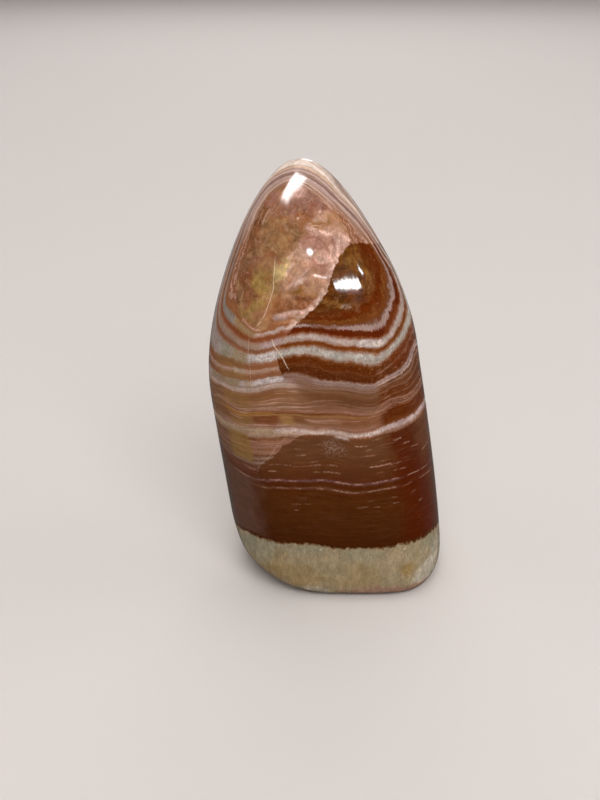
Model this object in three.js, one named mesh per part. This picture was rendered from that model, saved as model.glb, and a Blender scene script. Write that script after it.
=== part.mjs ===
// A polished free-form piece of banded aragonite: one solid stone, 110 mm tall,
// that stands on a small flat ground on its underside. Millimetres, +Z up, the
// front of the stone faces -Y, and the origin is on the surface it stands on,
// under the middle of its bounding box.
//
// The body is a stack of horizontal sections. Each section is a soft polygon:
// eight ground faces at fixed bearings, blended into each other the way a
// lapidary's belt and the polishing drum leave them. How far each face stands
// from the stone's centre line changes with height, and goes to zero at the tip
// like the square root of the height that is left, so that the tip is a dome.
import * as THREE from "three";
import { mergeVertices } from "three/addons/utils/BufferGeometryUtils.js";

// ---- driving dimensions ----------------------------------------------------
const HEIGHT = 110; // overall height of the stone
const COLUMNS = 76; // facets round a section
const ROWS = 46; // rows of facets from the flat ground to the tip
const BLEND = 10; // how tightly neighbouring ground faces meet

// Heights of the guide sections, as shares of HEIGHT.
const GUIDES = [0, 0.1, 0.22, 0.36, 0.5, 0.62, 0.73, 0.83, 0.91, 0.965, 1];

// The stone leans: its centre line, in X and Y, at each guide height.
const CENTRE_X = [5.2, 3.9, 1.9, -0.6, -2.9, -4.7, -5.9, -6.7, -7.3, -7.6, -7.8];
const CENTRE_Y = [0, 0, 0, 0.2, 0.9, 1.9, 3.0, 4.0, 4.6, 4.9, 5.0];

// Reach of the stone from its centre line to the right, left, front and back.
const RIGHT = [26.61, 27.27, 27.78, 27.79, 27.61, 27.01, 23.46, 18.02, 12.69, 7.61, 0];
const LEFT = [33.35, 32.33, 31.65, 30.75, 29.62, 26.44, 22.2, 17.37, 12.12, 7.26, 0];
const FRONT = [23.5, 23.0, 22.95, 22.43, 21.35, 19.35, 16.56, 13.17, 9.59, 6.0, 0];
const BACK = [20.9, 21.6, 21.88, 21.8, 20.8, 19.2, 16.8, 13.6, 10.0, 6.4, 0];

// The eight ground faces, as bearings from the front (-Y) towards the right
// (+X): front, front right, right, back right, back, back left, left, front left.
const BEARINGS = [0, 52, 93, 140, 180, 222, 267, 310];
// How far each one is ground in, against the oval that the reaches make: at the
// bottom of the stone, and from half its height up.
const GROUND_LOW = [0.985, 1.086, 0.972, 0.99, 1.0, 0.975, 0.961, 0.984];
const GROUND_HIGH = [1, 0.935, 1, 0.97, 1, 0.965, 1, 0.955];
// Under each face the stone curls in to its flat ground: the height where the
// curl starts, and how much of the face's reach is left at the very bottom.
const CURL_HEIGHT = [5, 5, 7, 9, 11, 13, 16.3, 8.5];
const CURL_LEFT = [0.83, 0.9, 0.84, 0.86, 0.8, 0.7, 0.59, 0.61];

// Slow hand-ground unevenness of the surface: [depth in mm, waves round the
// stone, phase, height in mm over which the wave turns by one radian].
const UNEVEN = [
  [0.2, 2, 0.9, 17],
  [0.15, 3, -1.7, -11],
  [0.1, 5, 0.4, 7.5],
];

// Brings the middle of the bounding box over the origin.
const SHIFT_X = 0.569;
const SHIFT_Y = 0.552;

// ---- curves along the height -----------------------------------------------
const knots = GUIDES.map((g) => g * HEIGHT);

// A smooth curve through values at the guide heights, read at height z.
function along(values, z) {
  const n = knots.length;
  const step = [];
  const rise = [];
  for (let i = 0; i < n - 1; i++) {
    step.push(knots[i + 1] - knots[i]);
    rise.push((values[i + 1] - values[i]) / step[i]);
  }
  const slope = [rise[0]];
  for (let i = 1; i < n - 1; i++) {
    slope.push((rise[i - 1] * step[i] + rise[i] * step[i - 1]) / (step[i] + step[i - 1]));
  }
  slope.push(rise[n - 2]);
  let i = 0;
  while (i < n - 2 && z >= knots[i + 1]) i++;
  const h = step[i];
  const t = (z - knots[i]) / h;
  return (
    values[i] * (1 + 2 * t) * (1 - t) ** 2 +
    slope[i] * h * t * (1 - t) ** 2 +
    values[i + 1] * t * t * (3 - 2 * t) +
    slope[i + 1] * h * t * t * (t - 1)
  );
}

// A reach is smooth in its square, which gives the tip its dome.
function reach(table, z) {
  return Math.sqrt(Math.max(0, along(table.map((v) => v * v), z)));
}

// ---- a section of the stone ------------------------------------------------
const bearings = BEARINGS.map(THREE.MathUtils.degToRad);

// Distance from the centre line to the surface at height z, for each column.
function section(z, columns) {
  const right = reach(RIGHT, z);
  const left = reach(LEFT, z);
  const front = reach(FRONT, z);
  const back = reach(BACK, z);
  const high = THREE.MathUtils.smoothstep(z, 0, HEIGHT / 2);
  const faces = bearings.map((b, j) => {
    const nx = Math.sin(b);
    const ny = -Math.cos(b);
    const a = nx >= 0 ? right : left;
    const c = ny <= 0 ? front : back;
    const curl = CURL_HEIGHT[j];
    const kept = CURL_LEFT[j];
    const share =
      z < curl ? kept + (1 - kept) * Math.sqrt(Math.max(0, 1 - ((curl - z) / curl) ** 2)) : 1;
    const ground = GROUND_LOW[j] + (GROUND_HIGH[j] - GROUND_LOW[j]) * high;
    return Math.hypot(a * nx, c * ny) * ground * share;
  });
  const calm = Math.sqrt(Math.sin(Math.PI * THREE.MathUtils.clamp(z / HEIGHT, 0, 1)));
  const radii = [];
  for (let k = 0; k < columns; k++) {
    const a = (2 * Math.PI * k) / columns;
    let sum = 0;
    bearings.forEach((b, j) => {
      const c = Math.cos(a - b);
      if (c > 0) sum += (c / Math.max(faces[j], 1e-6)) ** BLEND;
    });
    let r = sum ** (-1 / BLEND);
    for (const [depth, waves, phase, turn] of UNEVEN) {
      r += depth * calm * Math.sin(waves * a + phase + z / turn);
    }
    radii.push(r);
  }
  return radii;
}

// ---- the solid ---------------------------------------------------------------
// A lathe form gives the faces: its profile runs from the middle of the flat
// ground, out to its rim, and up to the tip. Each ring is then moved to the
// stone's own section at that height.
function stoneGeometry() {
  const profile = [new THREE.Vector2(0, 0), new THREE.Vector2(0.5, 0)];
  for (let i = 0; i < ROWS; i++) {
    const z = HEIGHT * (0.5 - 0.5 * Math.cos((Math.PI * i) / ROWS));
    profile.push(new THREE.Vector2(1, z));
  }
  profile.push(new THREE.Vector2(0, HEIGHT));
  const lathe = new THREE.LatheGeometry(profile, COLUMNS);
  lathe.rotateX(Math.PI / 2); // its axis is +Z, and its first column faces -Y
  lathe.deleteAttribute("normal");
  lathe.deleteAttribute("uv");
  const solid = mergeVertices(lathe, 1e-4);

  // The rings that meet the axis leave faces with no area: they are dropped.
  const old = solid.getIndex().array;
  const kept = [];
  for (let i = 0; i < old.length; i += 3) {
    const [a, b, c] = [old[i], old[i + 1], old[i + 2]];
    if (a !== b && b !== c && c !== a) kept.push(a, b, c);
  }
  solid.setIndex(kept);

  const sections = new Map();
  const position = solid.getAttribute("position");
  for (let i = 0; i < position.count; i++) {
    const x = position.getX(i);
    const y = position.getY(i);
    const z = Math.min(HEIGHT, Math.max(0, position.getZ(i)));
    const key = Math.round(z * 1000);
    if (!sections.has(key)) sections.set(key, section(Math.min(z, HEIGHT - 1e-4), COLUMNS));
    const spread = Math.min(1, Math.hypot(x, y)); // 0 on the axis, 1 on the skin
    const turn = (Math.atan2(x, -y) / (2 * Math.PI) + 1) % 1;
    const radius = spread < 1e-3 ? 0 : sections.get(key)[Math.round(turn * COLUMNS) % COLUMNS] * spread;
    const angle = turn * 2 * Math.PI;
    position.setXYZ(
      i,
      along(CENTRE_X, z) + radius * Math.sin(angle) + SHIFT_X,
      along(CENTRE_Y, z) - radius * Math.cos(angle) + SHIFT_Y,
      z,
    );
  }
  solid.computeVertexNormals();
  return solid;
}

const stone = new THREE.Mesh(
  stoneGeometry(),
  new THREE.MeshStandardMaterial({ color: 0x6b3318, roughness: 0.15, metalness: 0 }),
);
stone.name = "aragonite_stone";

const model = new THREE.Group();
model.name = "banded_aragonite";
model.add(stone);

export default model;
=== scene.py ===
import math

import bpy
import mathutils
import numpy as np
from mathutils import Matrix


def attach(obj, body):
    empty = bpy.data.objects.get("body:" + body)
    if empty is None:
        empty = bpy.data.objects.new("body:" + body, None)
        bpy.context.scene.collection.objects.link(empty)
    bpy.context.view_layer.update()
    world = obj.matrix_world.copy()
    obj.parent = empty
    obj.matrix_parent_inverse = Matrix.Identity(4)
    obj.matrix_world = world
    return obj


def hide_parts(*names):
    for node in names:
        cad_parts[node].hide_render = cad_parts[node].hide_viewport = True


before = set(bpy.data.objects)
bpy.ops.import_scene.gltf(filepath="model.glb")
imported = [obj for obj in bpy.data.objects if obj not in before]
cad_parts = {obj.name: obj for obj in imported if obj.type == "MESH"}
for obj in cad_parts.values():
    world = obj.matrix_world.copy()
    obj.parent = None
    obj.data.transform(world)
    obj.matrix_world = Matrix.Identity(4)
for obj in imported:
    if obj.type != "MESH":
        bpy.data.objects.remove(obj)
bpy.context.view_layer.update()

MM = 0.001

# ---- the stone's surface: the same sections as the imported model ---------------
HEIGHT = 110.0
BLEND = 10
GUIDES = [0, 0.1, 0.22, 0.36, 0.5, 0.62, 0.73, 0.83, 0.91, 0.965, 1]
CENTRE_X = [5.2, 3.9, 1.9, -0.6, -2.9, -4.7, -5.9, -6.7, -7.3, -7.6, -7.8]
CENTRE_Y = [0, 0, 0, 0.2, 0.9, 1.9, 3.0, 4.0, 4.6, 4.9, 5.0]
RIGHT = [26.61, 27.27, 27.78, 27.79, 27.61, 27.01, 23.46, 18.02, 12.69, 7.61, 0]
LEFT = [33.35, 32.33, 31.65, 30.75, 29.62, 26.44, 22.2, 17.37, 12.12, 7.26, 0]
FRONT = [23.5, 23.0, 22.95, 22.43, 21.35, 19.35, 16.56, 13.17, 9.59, 6.0, 0]
BACK = [20.9, 21.6, 21.88, 21.8, 20.8, 19.2, 16.8, 13.6, 10.0, 6.4, 0]
BEARINGS = [0, 52, 93, 140, 180, 222, 267, 310]
GROUND_LOW = [0.985, 1.086, 0.972, 0.99, 1.0, 0.975, 0.961, 0.984]
GROUND_HIGH = [1, 0.935, 1, 0.97, 1, 0.965, 1, 0.955]
CURL_HEIGHT = [5, 5, 7, 9, 11, 13, 16.3, 8.5]
CURL_LEFT = [0.83, 0.9, 0.84, 0.86, 0.8, 0.7, 0.59, 0.61]
UNEVEN = [[0.2, 2, 0.9, 17], [0.15, 3, -1.7, -11], [0.1, 5, 0.4, 7.5]]
SHIFT_X = 0.569
SHIFT_Y = 0.552

COLUMNS = 380
ROWS = 255


def along(values, z):
    """A smooth curve through values at the guide heights, read at heights z."""
    v = np.asarray(values, float)
    knots = np.array(GUIDES) * HEIGHT
    step = np.diff(knots)
    rise = np.diff(v) / step
    slope = np.empty(len(v))
    slope[0], slope[-1] = rise[0], rise[-1]
    slope[1:-1] = (rise[:-1] * step[1:] + rise[1:] * step[:-1]) / (step[1:] + step[:-1])
    i = np.clip(np.searchsorted(knots, z, side="right") - 1, 0, len(v) - 2)
    h = step[i]
    t = (z - knots[i]) / h
    return (
        v[i] * (1 + 2 * t) * (1 - t) ** 2
        + slope[i] * h * t * (1 - t) ** 2
        + v[i + 1] * t * t * (3 - 2 * t)
        + slope[i + 1] * h * t * t * (t - 1)
    )


def reach(table, z):
    return np.sqrt(np.maximum(0, along(np.square(table), z)))


def section(z, a):
    """Distance from the centre line to the surface, for heights z and bearings a."""
    right, left, front, back = (reach(t, z) for t in (RIGHT, LEFT, FRONT, BACK))
    u = np.clip(z / (HEIGHT / 2), 0, 1)
    high = u * u * (3 - 2 * u)
    total = np.zeros((len(z), len(a)))
    for j, b in enumerate(np.radians(BEARINGS)):
        nx, ny = math.sin(b), -math.cos(b)
        side = right if nx >= 0 else left
        face = front if ny <= 0 else back
        curl, kept = CURL_HEIGHT[j], CURL_LEFT[j]
        share = np.where(z < curl, kept + (1 - kept) * np.sqrt(np.maximum(0, 1 - ((curl - z) / curl) ** 2)), 1.0)
        ground = GROUND_LOW[j] + (GROUND_HIGH[j] - GROUND_LOW[j]) * high
        reached = np.hypot(side * nx, face * ny) * ground * share
        c = np.maximum(0, np.cos(a - b))
        total += (c[None] / np.maximum(reached, 1e-6)[:, None]) ** BLEND
    r = total ** (-1 / BLEND)
    calm = np.sqrt(np.sin(np.pi * np.clip(z / HEIGHT, 0, 1)))
    for depth, waves, phase, turn in UNEVEN:
        r += depth * calm[:, None] * np.sin(waves * a[None] + phase + z[:, None] / turn)
    return r


TABLE_Z = np.linspace(0, HEIGHT, 1101)
TABLE_Z[-1] = HEIGHT - 1e-4
TABLE_A = np.arange(720) * 2 * np.pi / 720
TABLE_R = section(TABLE_Z, TABLE_A)


def on_stone(bearing, z):
    """The points of the surface at bearings in degrees and heights in mm."""
    a = np.radians(np.asarray(bearing, float))
    z = np.clip(np.asarray(z, float), 0, HEIGHT - 1e-3)
    fa = (a % (2 * np.pi)) / (2 * np.pi) * 720
    i = np.floor(fa).astype(int)
    ta = fa - i
    fz = np.clip(z / HEIGHT * 1100, 0, 1099.999)
    k = np.floor(fz).astype(int)
    tz = fz - k
    low = TABLE_R[k, i % 720] * (1 - ta) + TABLE_R[k, (i + 1) % 720] * ta
    top = TABLE_R[k + 1, i % 720] * (1 - ta) + TABLE_R[k + 1, (i + 1) % 720] * ta
    r = low * (1 - tz) + top * tz
    x = along(CENTRE_X, z) + SHIFT_X + r * np.sin(a)
    y = along(CENTRE_Y, z) + SHIFT_Y - r * np.cos(a)
    return np.stack([x, y, z], -1), r


# ---- smooth noise, the same on every run --------------------------------------
def lattice(i, j, k, seed):
    n = (i * 374761393 + j * 668265263 + k * 2147483647 + seed * 144665) & 0xFFFFFFFF
    n = ((n ^ (n >> 13)) * 1274126177) & 0xFFFFFFFF
    n = n ^ (n >> 16)
    return (n & 0xFFFF) / 32767.5 - 1.0


def noise(p, size, seed):
    """Value noise between -1 and 1, with lumps of about size mm."""
    q = p / size + 1000.0
    c = np.floor(q).astype(np.int64)
    f = q - c
    f = f * f * f * (f * (f * 6 - 15) + 10)
    out = 0
    for dx in (0, 1):
        wx = f[..., 0] if dx else 1 - f[..., 0]
        for dy in (0, 1):
            wy = f[..., 1] if dy else 1 - f[..., 1]
            for dz in (0, 1):
                wz = f[..., 2] if dz else 1 - f[..., 2]
                out = out + wx * wy * wz * lattice(c[..., 0] + dx, c[..., 1] + dy, c[..., 2] + dz, seed)
    return out


def fractal(p, size, seed, levels=3):
    total, weight = 0, 0
    for n in range(levels):
        w = 0.5 ** n
        total = total + w * noise(p, size / 2 ** n, seed + 17 * n)
        weight += w
    return total / weight


# ---- the strata -----------------------------------------------------------------
# Depth runs in mm from the first white contour round the core of the upper
# stone (0), down to the pale base layer (58 and more). It is negative in the
# core. Each contour is a line of one depth on the surface, as (bearing in
# degrees from the front towards the right, height in mm).
CONTOURS = [
    (0.0, [
        (-5.6, 107), (-27.7, 106.8), (-49.5, 105.9), (-64, 104.3), (-72, 102.2), (-75, 100), (-76, 97.3), (-77, 94.6), (-76, 92),
        (-77, 89.3), (-77, 86.5), (-78, 83.5), (-77, 80.6), (-77, 78.2), (-76, 76), (-73, 74.9), (-68, 73.8), (-63, 73.2),
        (-57.4, 72.6), (-52, 72.2), (-45.1, 72), (-37.6, 71.6), (-34.1, 71.8), (-30, 72.7), (-28, 73.3), (-22, 73.6), (-17.1, 74),
        (-6.7, 74.6), (5.6, 74.2), (18.8, 74), (29.4, 73.9), (40, 73.5), (46.4, 73.2), (51.2, 73.2), (56.6, 74), (62, 75.1),
        (67, 76), (72, 77.4), (75, 78.8), (76, 80.4), (78, 81.7), (79, 82.8), (78, 84.8), (78, 87), (76, 89.4),
        (74, 92), (70, 94.6), (64, 97.3), (57.5, 99.4), (50, 101.5), (40.7, 103.2), (31, 104.9), (19, 106.2), (-5.6, 107),
    ]),
    (3.0, [
        (-8.8, 107.7), (-31.6, 107.6), (-55.2, 106.6), (-70, 105), (-78, 102.9), (-83, 100.5), (-85, 97.5), (-85, 95), (-83, 92.4),
        (-83, 89.7), (-83, 87), (-83, 83.9), (-83, 81), (-83, 77.9), (-82, 75.3), (-79, 73.4), (-75, 71.5), (-68, 70.2),
        (-61, 69.3), (-52.7, 68.8), (-43.6, 69), (-34, 70), (-24.1, 71), (-17.4, 71.5), (-8.8, 71.9), (0.3, 72.2), (10.7, 71.9),
        (17.4, 71), (23.2, 70.6), (30.1, 70.5), (40.3, 69.8), (47.3, 69.2), (53.3, 69.5), (59.5, 70.3), (64, 71.3), (69, 72.2),
        (75, 73.7), (81, 75.2), (84, 76.8), (85, 79.2), (86, 81.6), (85, 84.3), (84, 86.9), (83, 89.5), (81, 92.2),
        (77, 94.9), (73, 97.4), (67, 99.6), (59.7, 101.5), (52.2, 103.6), (41.1, 105.5), (26, 106.8), (5.3, 107.5),
    ]),
    (4.8, [
        (-60, 67.9), (-52.3, 67.4), (-45.1, 67.3), (-41.9, 67.5), (-34.6, 68.2), (-29.4, 68.9), (-22.9, 69.5), (-16.2, 70.1), (-9.1, 70.4),
        (-1.7, 70.4), (5.6, 70.1), (12.6, 69.6), (22.5, 69.2), (31.8, 69.1), (38, 68.4), (43.7, 67.9), (48.1, 68), (53.3, 68.4),
        (59.1, 68.9), (66, 69.7), (72, 70.6),
    ]),
    (6.8, [
        (-5.4, 109.8), (-51.6, 109.3), (-73, 108), (-90, 106), (-85, 69.9), (-82, 67.7), (-78, 65.8), (-70, 65.4), (-59.5, 65.5),
        (-52, 65.4), (-45, 65.6), (-41.8, 66.1), (-36, 66.5), (-30.8, 67), (-26.3, 67.4), (-21.1, 68.2), (-15.1, 68.5), (-9.5, 68.7),
        (-2.2, 68.9), (4.8, 68.2), (11.8, 67.7), (21.5, 67.2), (30.7, 66.8), (36.7, 66), (41.3, 65.4), (46.7, 66.1), (53.6, 66.5),
        (61, 67.1), (67, 68), (74, 68.9), (80, 70), (88, 71.6), (91, 73.6), (91, 86.1), (89, 89.2), (86, 92.2),
        (83, 95.1), (80, 97.8), (74, 100.4), (70, 102.7), (69, 104.8), (66, 106.6), (58.4, 108.1), (41.7, 109.2), (-5.4, 109.8),
    ]),
    (10.2, [
        (-55.1, 61.8), (-47.4, 62.3), (-41.9, 62.7), (-37.6, 63.3), (-33, 63.8), (-23.6, 64.6),
    ]),
    (10.2, [
        (92, 101.8), (89, 99.7), (88, 97.9), (87, 95.6), (87, 93.1), (87, 90.5), (88, 87.5),
    ]),
    (13.4, [
        (-78, 57.5), (-70, 57.6), (-60, 58.1), (-51.6, 58.8), (-43.5, 59.8), (-39.3, 60), (-35.2, 60.8), (-31.4, 61.5), (-22.8, 62),
        (-13.3, 62.1), (-8.7, 61.8), (-4.8, 61.3), (1.9, 60.8), (11.9, 60.6), (21.3, 60.2), (33.3, 59.3), (37.4, 59.2), (40.5, 59.4),
        (44.8, 59.7), (49.4, 59.6), (54.4, 59.7), (59.7, 59.7), (65, 59.9), (72, 60.7), (76, 61.9), (80, 62.9),
    ]),
    (20.9, [
        (-0.8, 53.9), (5.8, 53.9), (12.1, 53.7), (18.1, 53.1), (24, 52.7), (28.8, 52.5), (33.6, 52.6), (38, 52.7), (42.4, 53.2),
        (46.2, 53.4), (52, 53.1), (59, 52.3),
    ]),
    (20.9, [
        (-74, 50.4), (-66, 51), (-59.9, 50.5), (-52.9, 50.9), (-44.8, 51.8), (-36.6, 52.8), (-24.2, 53.5), (-13.9, 53.4), (-7.6, 53.1),
        (8.4, 52.6),
    ]),
    (25.55, [
        (-72, 45.4), (-66, 45.6), (-59.1, 46.1), (-51.9, 46.5), (-46.2, 47.1), (-39, 48), (-27.1, 48.9), (-14, 49), (-10.4, 48.5),
        (-6, 48.4), (-2.8, 48.6), (2.6, 49), (7.6, 48.8), (11.2, 48.3), (15.9, 47.8), (21.9, 47.6), (28, 47.6), (33.5, 47.9),
        (38.7, 47.8), (44.8, 47.5), (52.8, 47), (61, 46.7), (68, 46.6), (75, 46.8), (82, 47.1), (88, 47.3),
    ]),
    (38.9, [
        (-69, 33.2), (-61, 33.2), (-51.3, 33.5), (-44.8, 33.9), (-33, 35.4), (-23.6, 35.4), (-14.8, 35.7), (-6.8, 35.9), (2.5, 35.3),
        (10.5, 34.9), (16.5, 34.4), (23.6, 34.5), (28.6, 34.7), (36.6, 34.7), (41.2, 34.3), (52.7, 33.6), (61, 32.8), (78, 31.9),
    ]),
    (41.1, [
        (-68, 31.6), (-55.8, 31.5), (-45.5, 32.1), (-31.4, 33.2), (-20.2, 33.6), (-8.9, 33.5), (-1.4, 33.3), (4.6, 32.5), (12, 32.1),
        (18.8, 32.3), (26, 32.6), (35.6, 32.6), (45.9, 31.8), (59.9, 31.4), (78, 30.2),
    ]),
    (58.05, [
        (-73, 13.1), (-59.2, 14.9), (-52.2, 15.4), (-43.4, 16.1), (-37.4, 16.3), (-30.1, 16.9), (-22.8, 16.8), (-18.1, 16.9), (-14.1, 16.4),
        (-6.7, 15.9), (-1.6, 15.6), (6.4, 15.7), (14.7, 15.6), (24.5, 15.4), (29.9, 15.7), (36.9, 15.9), (45.8, 15.3), (55.6, 14.9),
        (66, 14.5), (79, 13.3),
    ]),
]

# Single soundings: bearing, height, depth, and how far the field may miss it.
SOUNDINGS = [
    # the core, seen from the front
    (5.8, 91.5, -13, 1.2), (-15.5, 89.2, -11, 1.2), (28.6, 93.6, -10, 1.2), (-6.4, 83.6, -9, 1.2),
    (28.5, 85.2, -9, 1.2), (-31.9, 97.2, -8, 1.2), (-43.4, 88.6, -7, 1.2), (-37.7, 82.2, -6, 1.2),
    (43.5, 82.6, -6, 1.2), (-5.8, 79.1, -5, 1.2), (28, 78.6, -4, 1.2), (-3.5, 101.3, -6, 1.2),
    (57.5, 86.5, -5, 1.2),
    # the flanks, and the tip
    (-92, 74, 6.8, 0.3), (-92, 78, 6.8, 0.3), (-92, 82, 6.8, 0.3), (-92, 86, 6.8, 0.3),
    (-92, 90, 6.8, 0.3), (-92, 94, 6.8, 0.3), (-92, 98, 6.8, 0.3), (-92, 102, 6.8, 0.3),
    (92, 77, 7.2, 0.3), (92, 80, 7.6, 0.3), (92, 83, 8.2, 0.3),
    (100, 100, 11.5, 0.5), (98, 94, 11.5, 0.5), (98, 88, 11, 0.5), (0, 109.95, 8.0, 0.3),
]

# The back of the stone: the same strata, round to the far side.
for b in (-150, -120, 110, 120, 150, 180):
    a = math.radians(b)
    w = math.sin(2 * a + 0.7) + 0.6 * math.sin(3 * a - 1.0)
    SOUNDINGS += [
        (b, 3, 71, 0.5), (b, 8, 66, 0.5), (b, 15.4 + 0.6 * w, 58.05, 0.3), (b, 24, 50, 0.5),
        (b, 32.2 + w, 41.1, 0.3), (b, 34.6 + w, 38.9, 0.3), (b, 40, 34, 0.5),
        (b, 47.8 + 1.2 * w, 25.55, 0.3), (b, 53 + 1.4 * w, 20.9, 0.3), (b, 59.5 + 1.6 * w, 13.4, 0.3),
    ]
SOUNDINGS += [
    (180, 66, 6.8, 0.4), (155, 67, 6.8, 0.4), (205, 67, 6.8, 0.4), (130, 68, 6.8, 0.4),
    (232, 68, 6.8, 0.4), (112, 69, 7.2, 0.4), (250, 68.5, 6.8, 0.4),
    (180, 70.5, 3, 0.4), (160, 72, 3, 0.4), (203, 72.5, 3, 0.4),
    (180, 73.5, 0, 0.4), (165, 76, 0, 0.4), (200, 77, 0, 0.4), (158, 82, 0, 0.4), (206, 83, 0, 0.4),
    (160, 88, 0, 0.4), (204, 89, 0, 0.4), (170, 93.5, 0, 0.4), (194, 94, 0, 0.4), (182, 96, 0, 0.4),
    (182, 84, -7, 0.6), (180, 79, -4, 0.6), (184, 90, -4, 0.6),
    (130, 78, 9.5, 0.5), (128, 88, 12.5, 0.5), (130, 97, 12.5, 0.5), (236, 78, 8.5, 0.5), (236, 88, 10.5, 0.5),
    (234, 97, 11, 0.5), (180, 103, 7.5, 0.5), (150, 102, 10.5, 0.5), (212, 102, 9.5, 0.5),
    (110, 80, 9, 0.5), (110, 92, 12, 0.5), (252, 80, 8, 0.5), (252, 92, 8.5, 0.5),
]


def dense(points, step):
    """A line of (bearing, height) points, with more points between them, in 3-D."""
    p, _ = on_stone(*np.array(points, float).T)
    out = [p[:1]]
    q = np.array(points, float)
    for n in range(len(q) - 1):
        count = max(1, int(np.linalg.norm(p[n + 1] - p[n]) // step))
        t = (np.arange(count) + 1)[:, None] / count
        out.append(on_stone(*(q[n] + (q[n + 1] - q[n]) * t).T)[0])
    return np.concatenate(out)


def plain_depth(p):
    """The depth in a stone whose strata lie level, and that stop under the tip."""
    u = (66 - p[..., 2]) / 3.0
    return 8 + 3.0 * np.logaddexp(0, u)


def nearness(a, b):
    d2 = ((a[:, None] - b[None]) ** 2).sum(-1)
    return 16 * np.exp(-d2 / (2 * 14.0 ** 2)) + np.exp(-d2 / (2 * 4.5 ** 2))


def strata_field():
    """The depth at any point, bent so that it follows the contours and soundings."""
    points, values, slack = [], [], []
    for depth, line in CONTOURS:
        p = dense(line, 2.0)
        points.append(p)
        values.append(np.full(len(p), depth))
        slack.append(np.full(len(p), 0.15))
    rows = np.array(SOUNDINGS)
    points.append(on_stone(rows[:, 0], rows[:, 1])[0])
    values.append(rows[:, 2])
    slack.append(rows[:, 3])
    points, values, slack = np.concatenate(points), np.concatenate(values), np.concatenate(slack)
    pull = np.linalg.solve(nearness(points, points) + np.diag(slack ** 2), values - plain_depth(points))

    def field(p):
        out = np.empty(len(p))
        for n in range(0, len(p), 20000):
            out[n : n + 20000] = plain_depth(p[n : n + 20000]) + nearness(p[n : n + 20000], points) @ pull
        return out

    return field


# ---- where the rock has bleached --------------------------------------------------
# Part of the stone is bleached to pink and tan, and the rest is dark brown. The
# edge between them cuts across the strata. It is a closed line: up the right of
# the core, round the back, and along the left, with a tongue to the right
# between two strata.
BLEACHED = [
    (-110, 45), (-90, 38), (-78, 34.5), (-66, 33), (-55, 33), (-46, 33.9), (-45.6, 35.7), (-41.8, 38.5), (-33.6, 41.3), (-29.7, 43.2),
    (-26.4, 44.9), (-22.2, 45.8), (-17.7, 47.1), (-15.5, 48.0), (-2.8, 48.1), (10, 47.7), (25.7, 47.8), (31.1, 48.7), (33.3, 50.6), (32.8, 52.4),
    (28.8, 52.5), (24, 52.7), (18.1, 53.1), (12.1, 53.7), (4.5, 54.1), (-0.6, 54.6), (-8.1, 55.4), (-12.4, 56.4),
    (-15.2, 57.6), (-16.7, 59.1), (-18.9, 60.3), (-21.7, 61.5), (-22.7, 62.7), (-23.1, 63.6), (-24.1, 65.1),
    (-25.2, 66.5), (-25, 68.2), (-23.6, 68.9), (-22.2, 69.8), (-20.8, 71), (-17.9, 72.4), (-15, 73.6),
    (-12.7, 74.5), (-6.3, 76.1), (-2.1, 77.1), (4, 78.3), (9.5, 80), (13.3, 81.3), (16.3, 82.5), (18.4, 83.6),
    (20.1, 85.1), (23.4, 86.5), (25.1, 87.7), (29.5, 88.8), (31.3, 89.8), (36.9, 90.8), (41, 91.6), (48.5, 92),
    (60, 91.6), (72, 90.5), (84, 89.5), (100, 88), (118, 88), (135, 84), (150, 77), (163, 73), (176, 74.5), (190, 72), (203, 66),
    (214, 58), (226, 55), (238, 50), (250, 45),
]


def inside(points, polygon):
    """Which (bearing, height) points lie inside a closed polygon."""
    x, y = points[:, 0], points[:, 1]
    odd = np.zeros(len(x), bool)
    px, py = np.array(polygon, float).T
    for n in range(len(px)):
        x0, y0, x1, y1 = px[n - 1], py[n - 1], px[n], py[n]
        if y0 == y1:
            continue
        odd ^= ((y0 > y) != (y1 > y)) & (x < (x1 - x0) * (y - y0) / (y1 - y0) + x0)
    return odd


def distance(p, line):
    """Distance in mm from points to a 3-D line."""
    best = np.full(len(p), 1e9)
    for a, b in zip(line[:-1], line[1:]):
        ab = b - a
        t = np.clip(((p - a) @ ab) / max(ab @ ab, 1e-9), 0, 1)
        best = np.minimum(best, np.linalg.norm(p - a - t[:, None] * ab, axis=1))
    return best


def bleached_field(p, bearing):
    """Signed distance in mm to the edge of the bleached rock, positive inside it."""
    wrapped = np.where(bearing <= -110, bearing + 360, bearing)
    polygon = BLEACHED + [(250, 200), (-110, 200)]
    sign = np.where(inside(np.stack([wrapped, p[:, 2]], -1), polygon), 1.0, -1.0)
    return sign * np.minimum(distance(p, dense(BLEACHED, 3.0)), 12.0)


# ---- stained patches, and one painted reflection --------------------------------------
PALETTE = {
    "tan": (150, 102, 72),
    "olive_brown": (142, 102, 66),
    "mauve_brown": (146, 100, 84),
    "pink": (190, 138, 120),
    "pale_pink": (222, 178, 160),
    "orange_tan": (166, 116, 78),
    "pink_tan": (182, 136, 110),
    "ochre": (156, 124, 66),
    "ochre_brown": (148, 98, 46),
    "cream_ochre": (194, 168, 114),
    "rust_brown": (120, 70, 38),
    "rust_orange": (146, 84, 50),
    "orange_brown": (148, 92, 54),
    "dark_line": (104, 62, 34),
    "lilac": (172, 150, 150),
    "deep_rust": (84, 28, 5),
    "rust": (100, 50, 14),
    "dark_brown": (90, 44, 12),
    "amber_brown": (110, 64, 22),
    "amber_tan": (130, 84, 42),
    "wisp": (176, 148, 132),
    "plum": (104, 66, 56),
    "cream": (160, 144, 114),
    "cream_grey": (148, 142, 120),
    "cream_tan": (166, 146, 118),
    "cream_white": (194, 186, 170),
    "rose": (168, 130, 112),
    "ochre_cream": (150, 126, 84),
}

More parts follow.
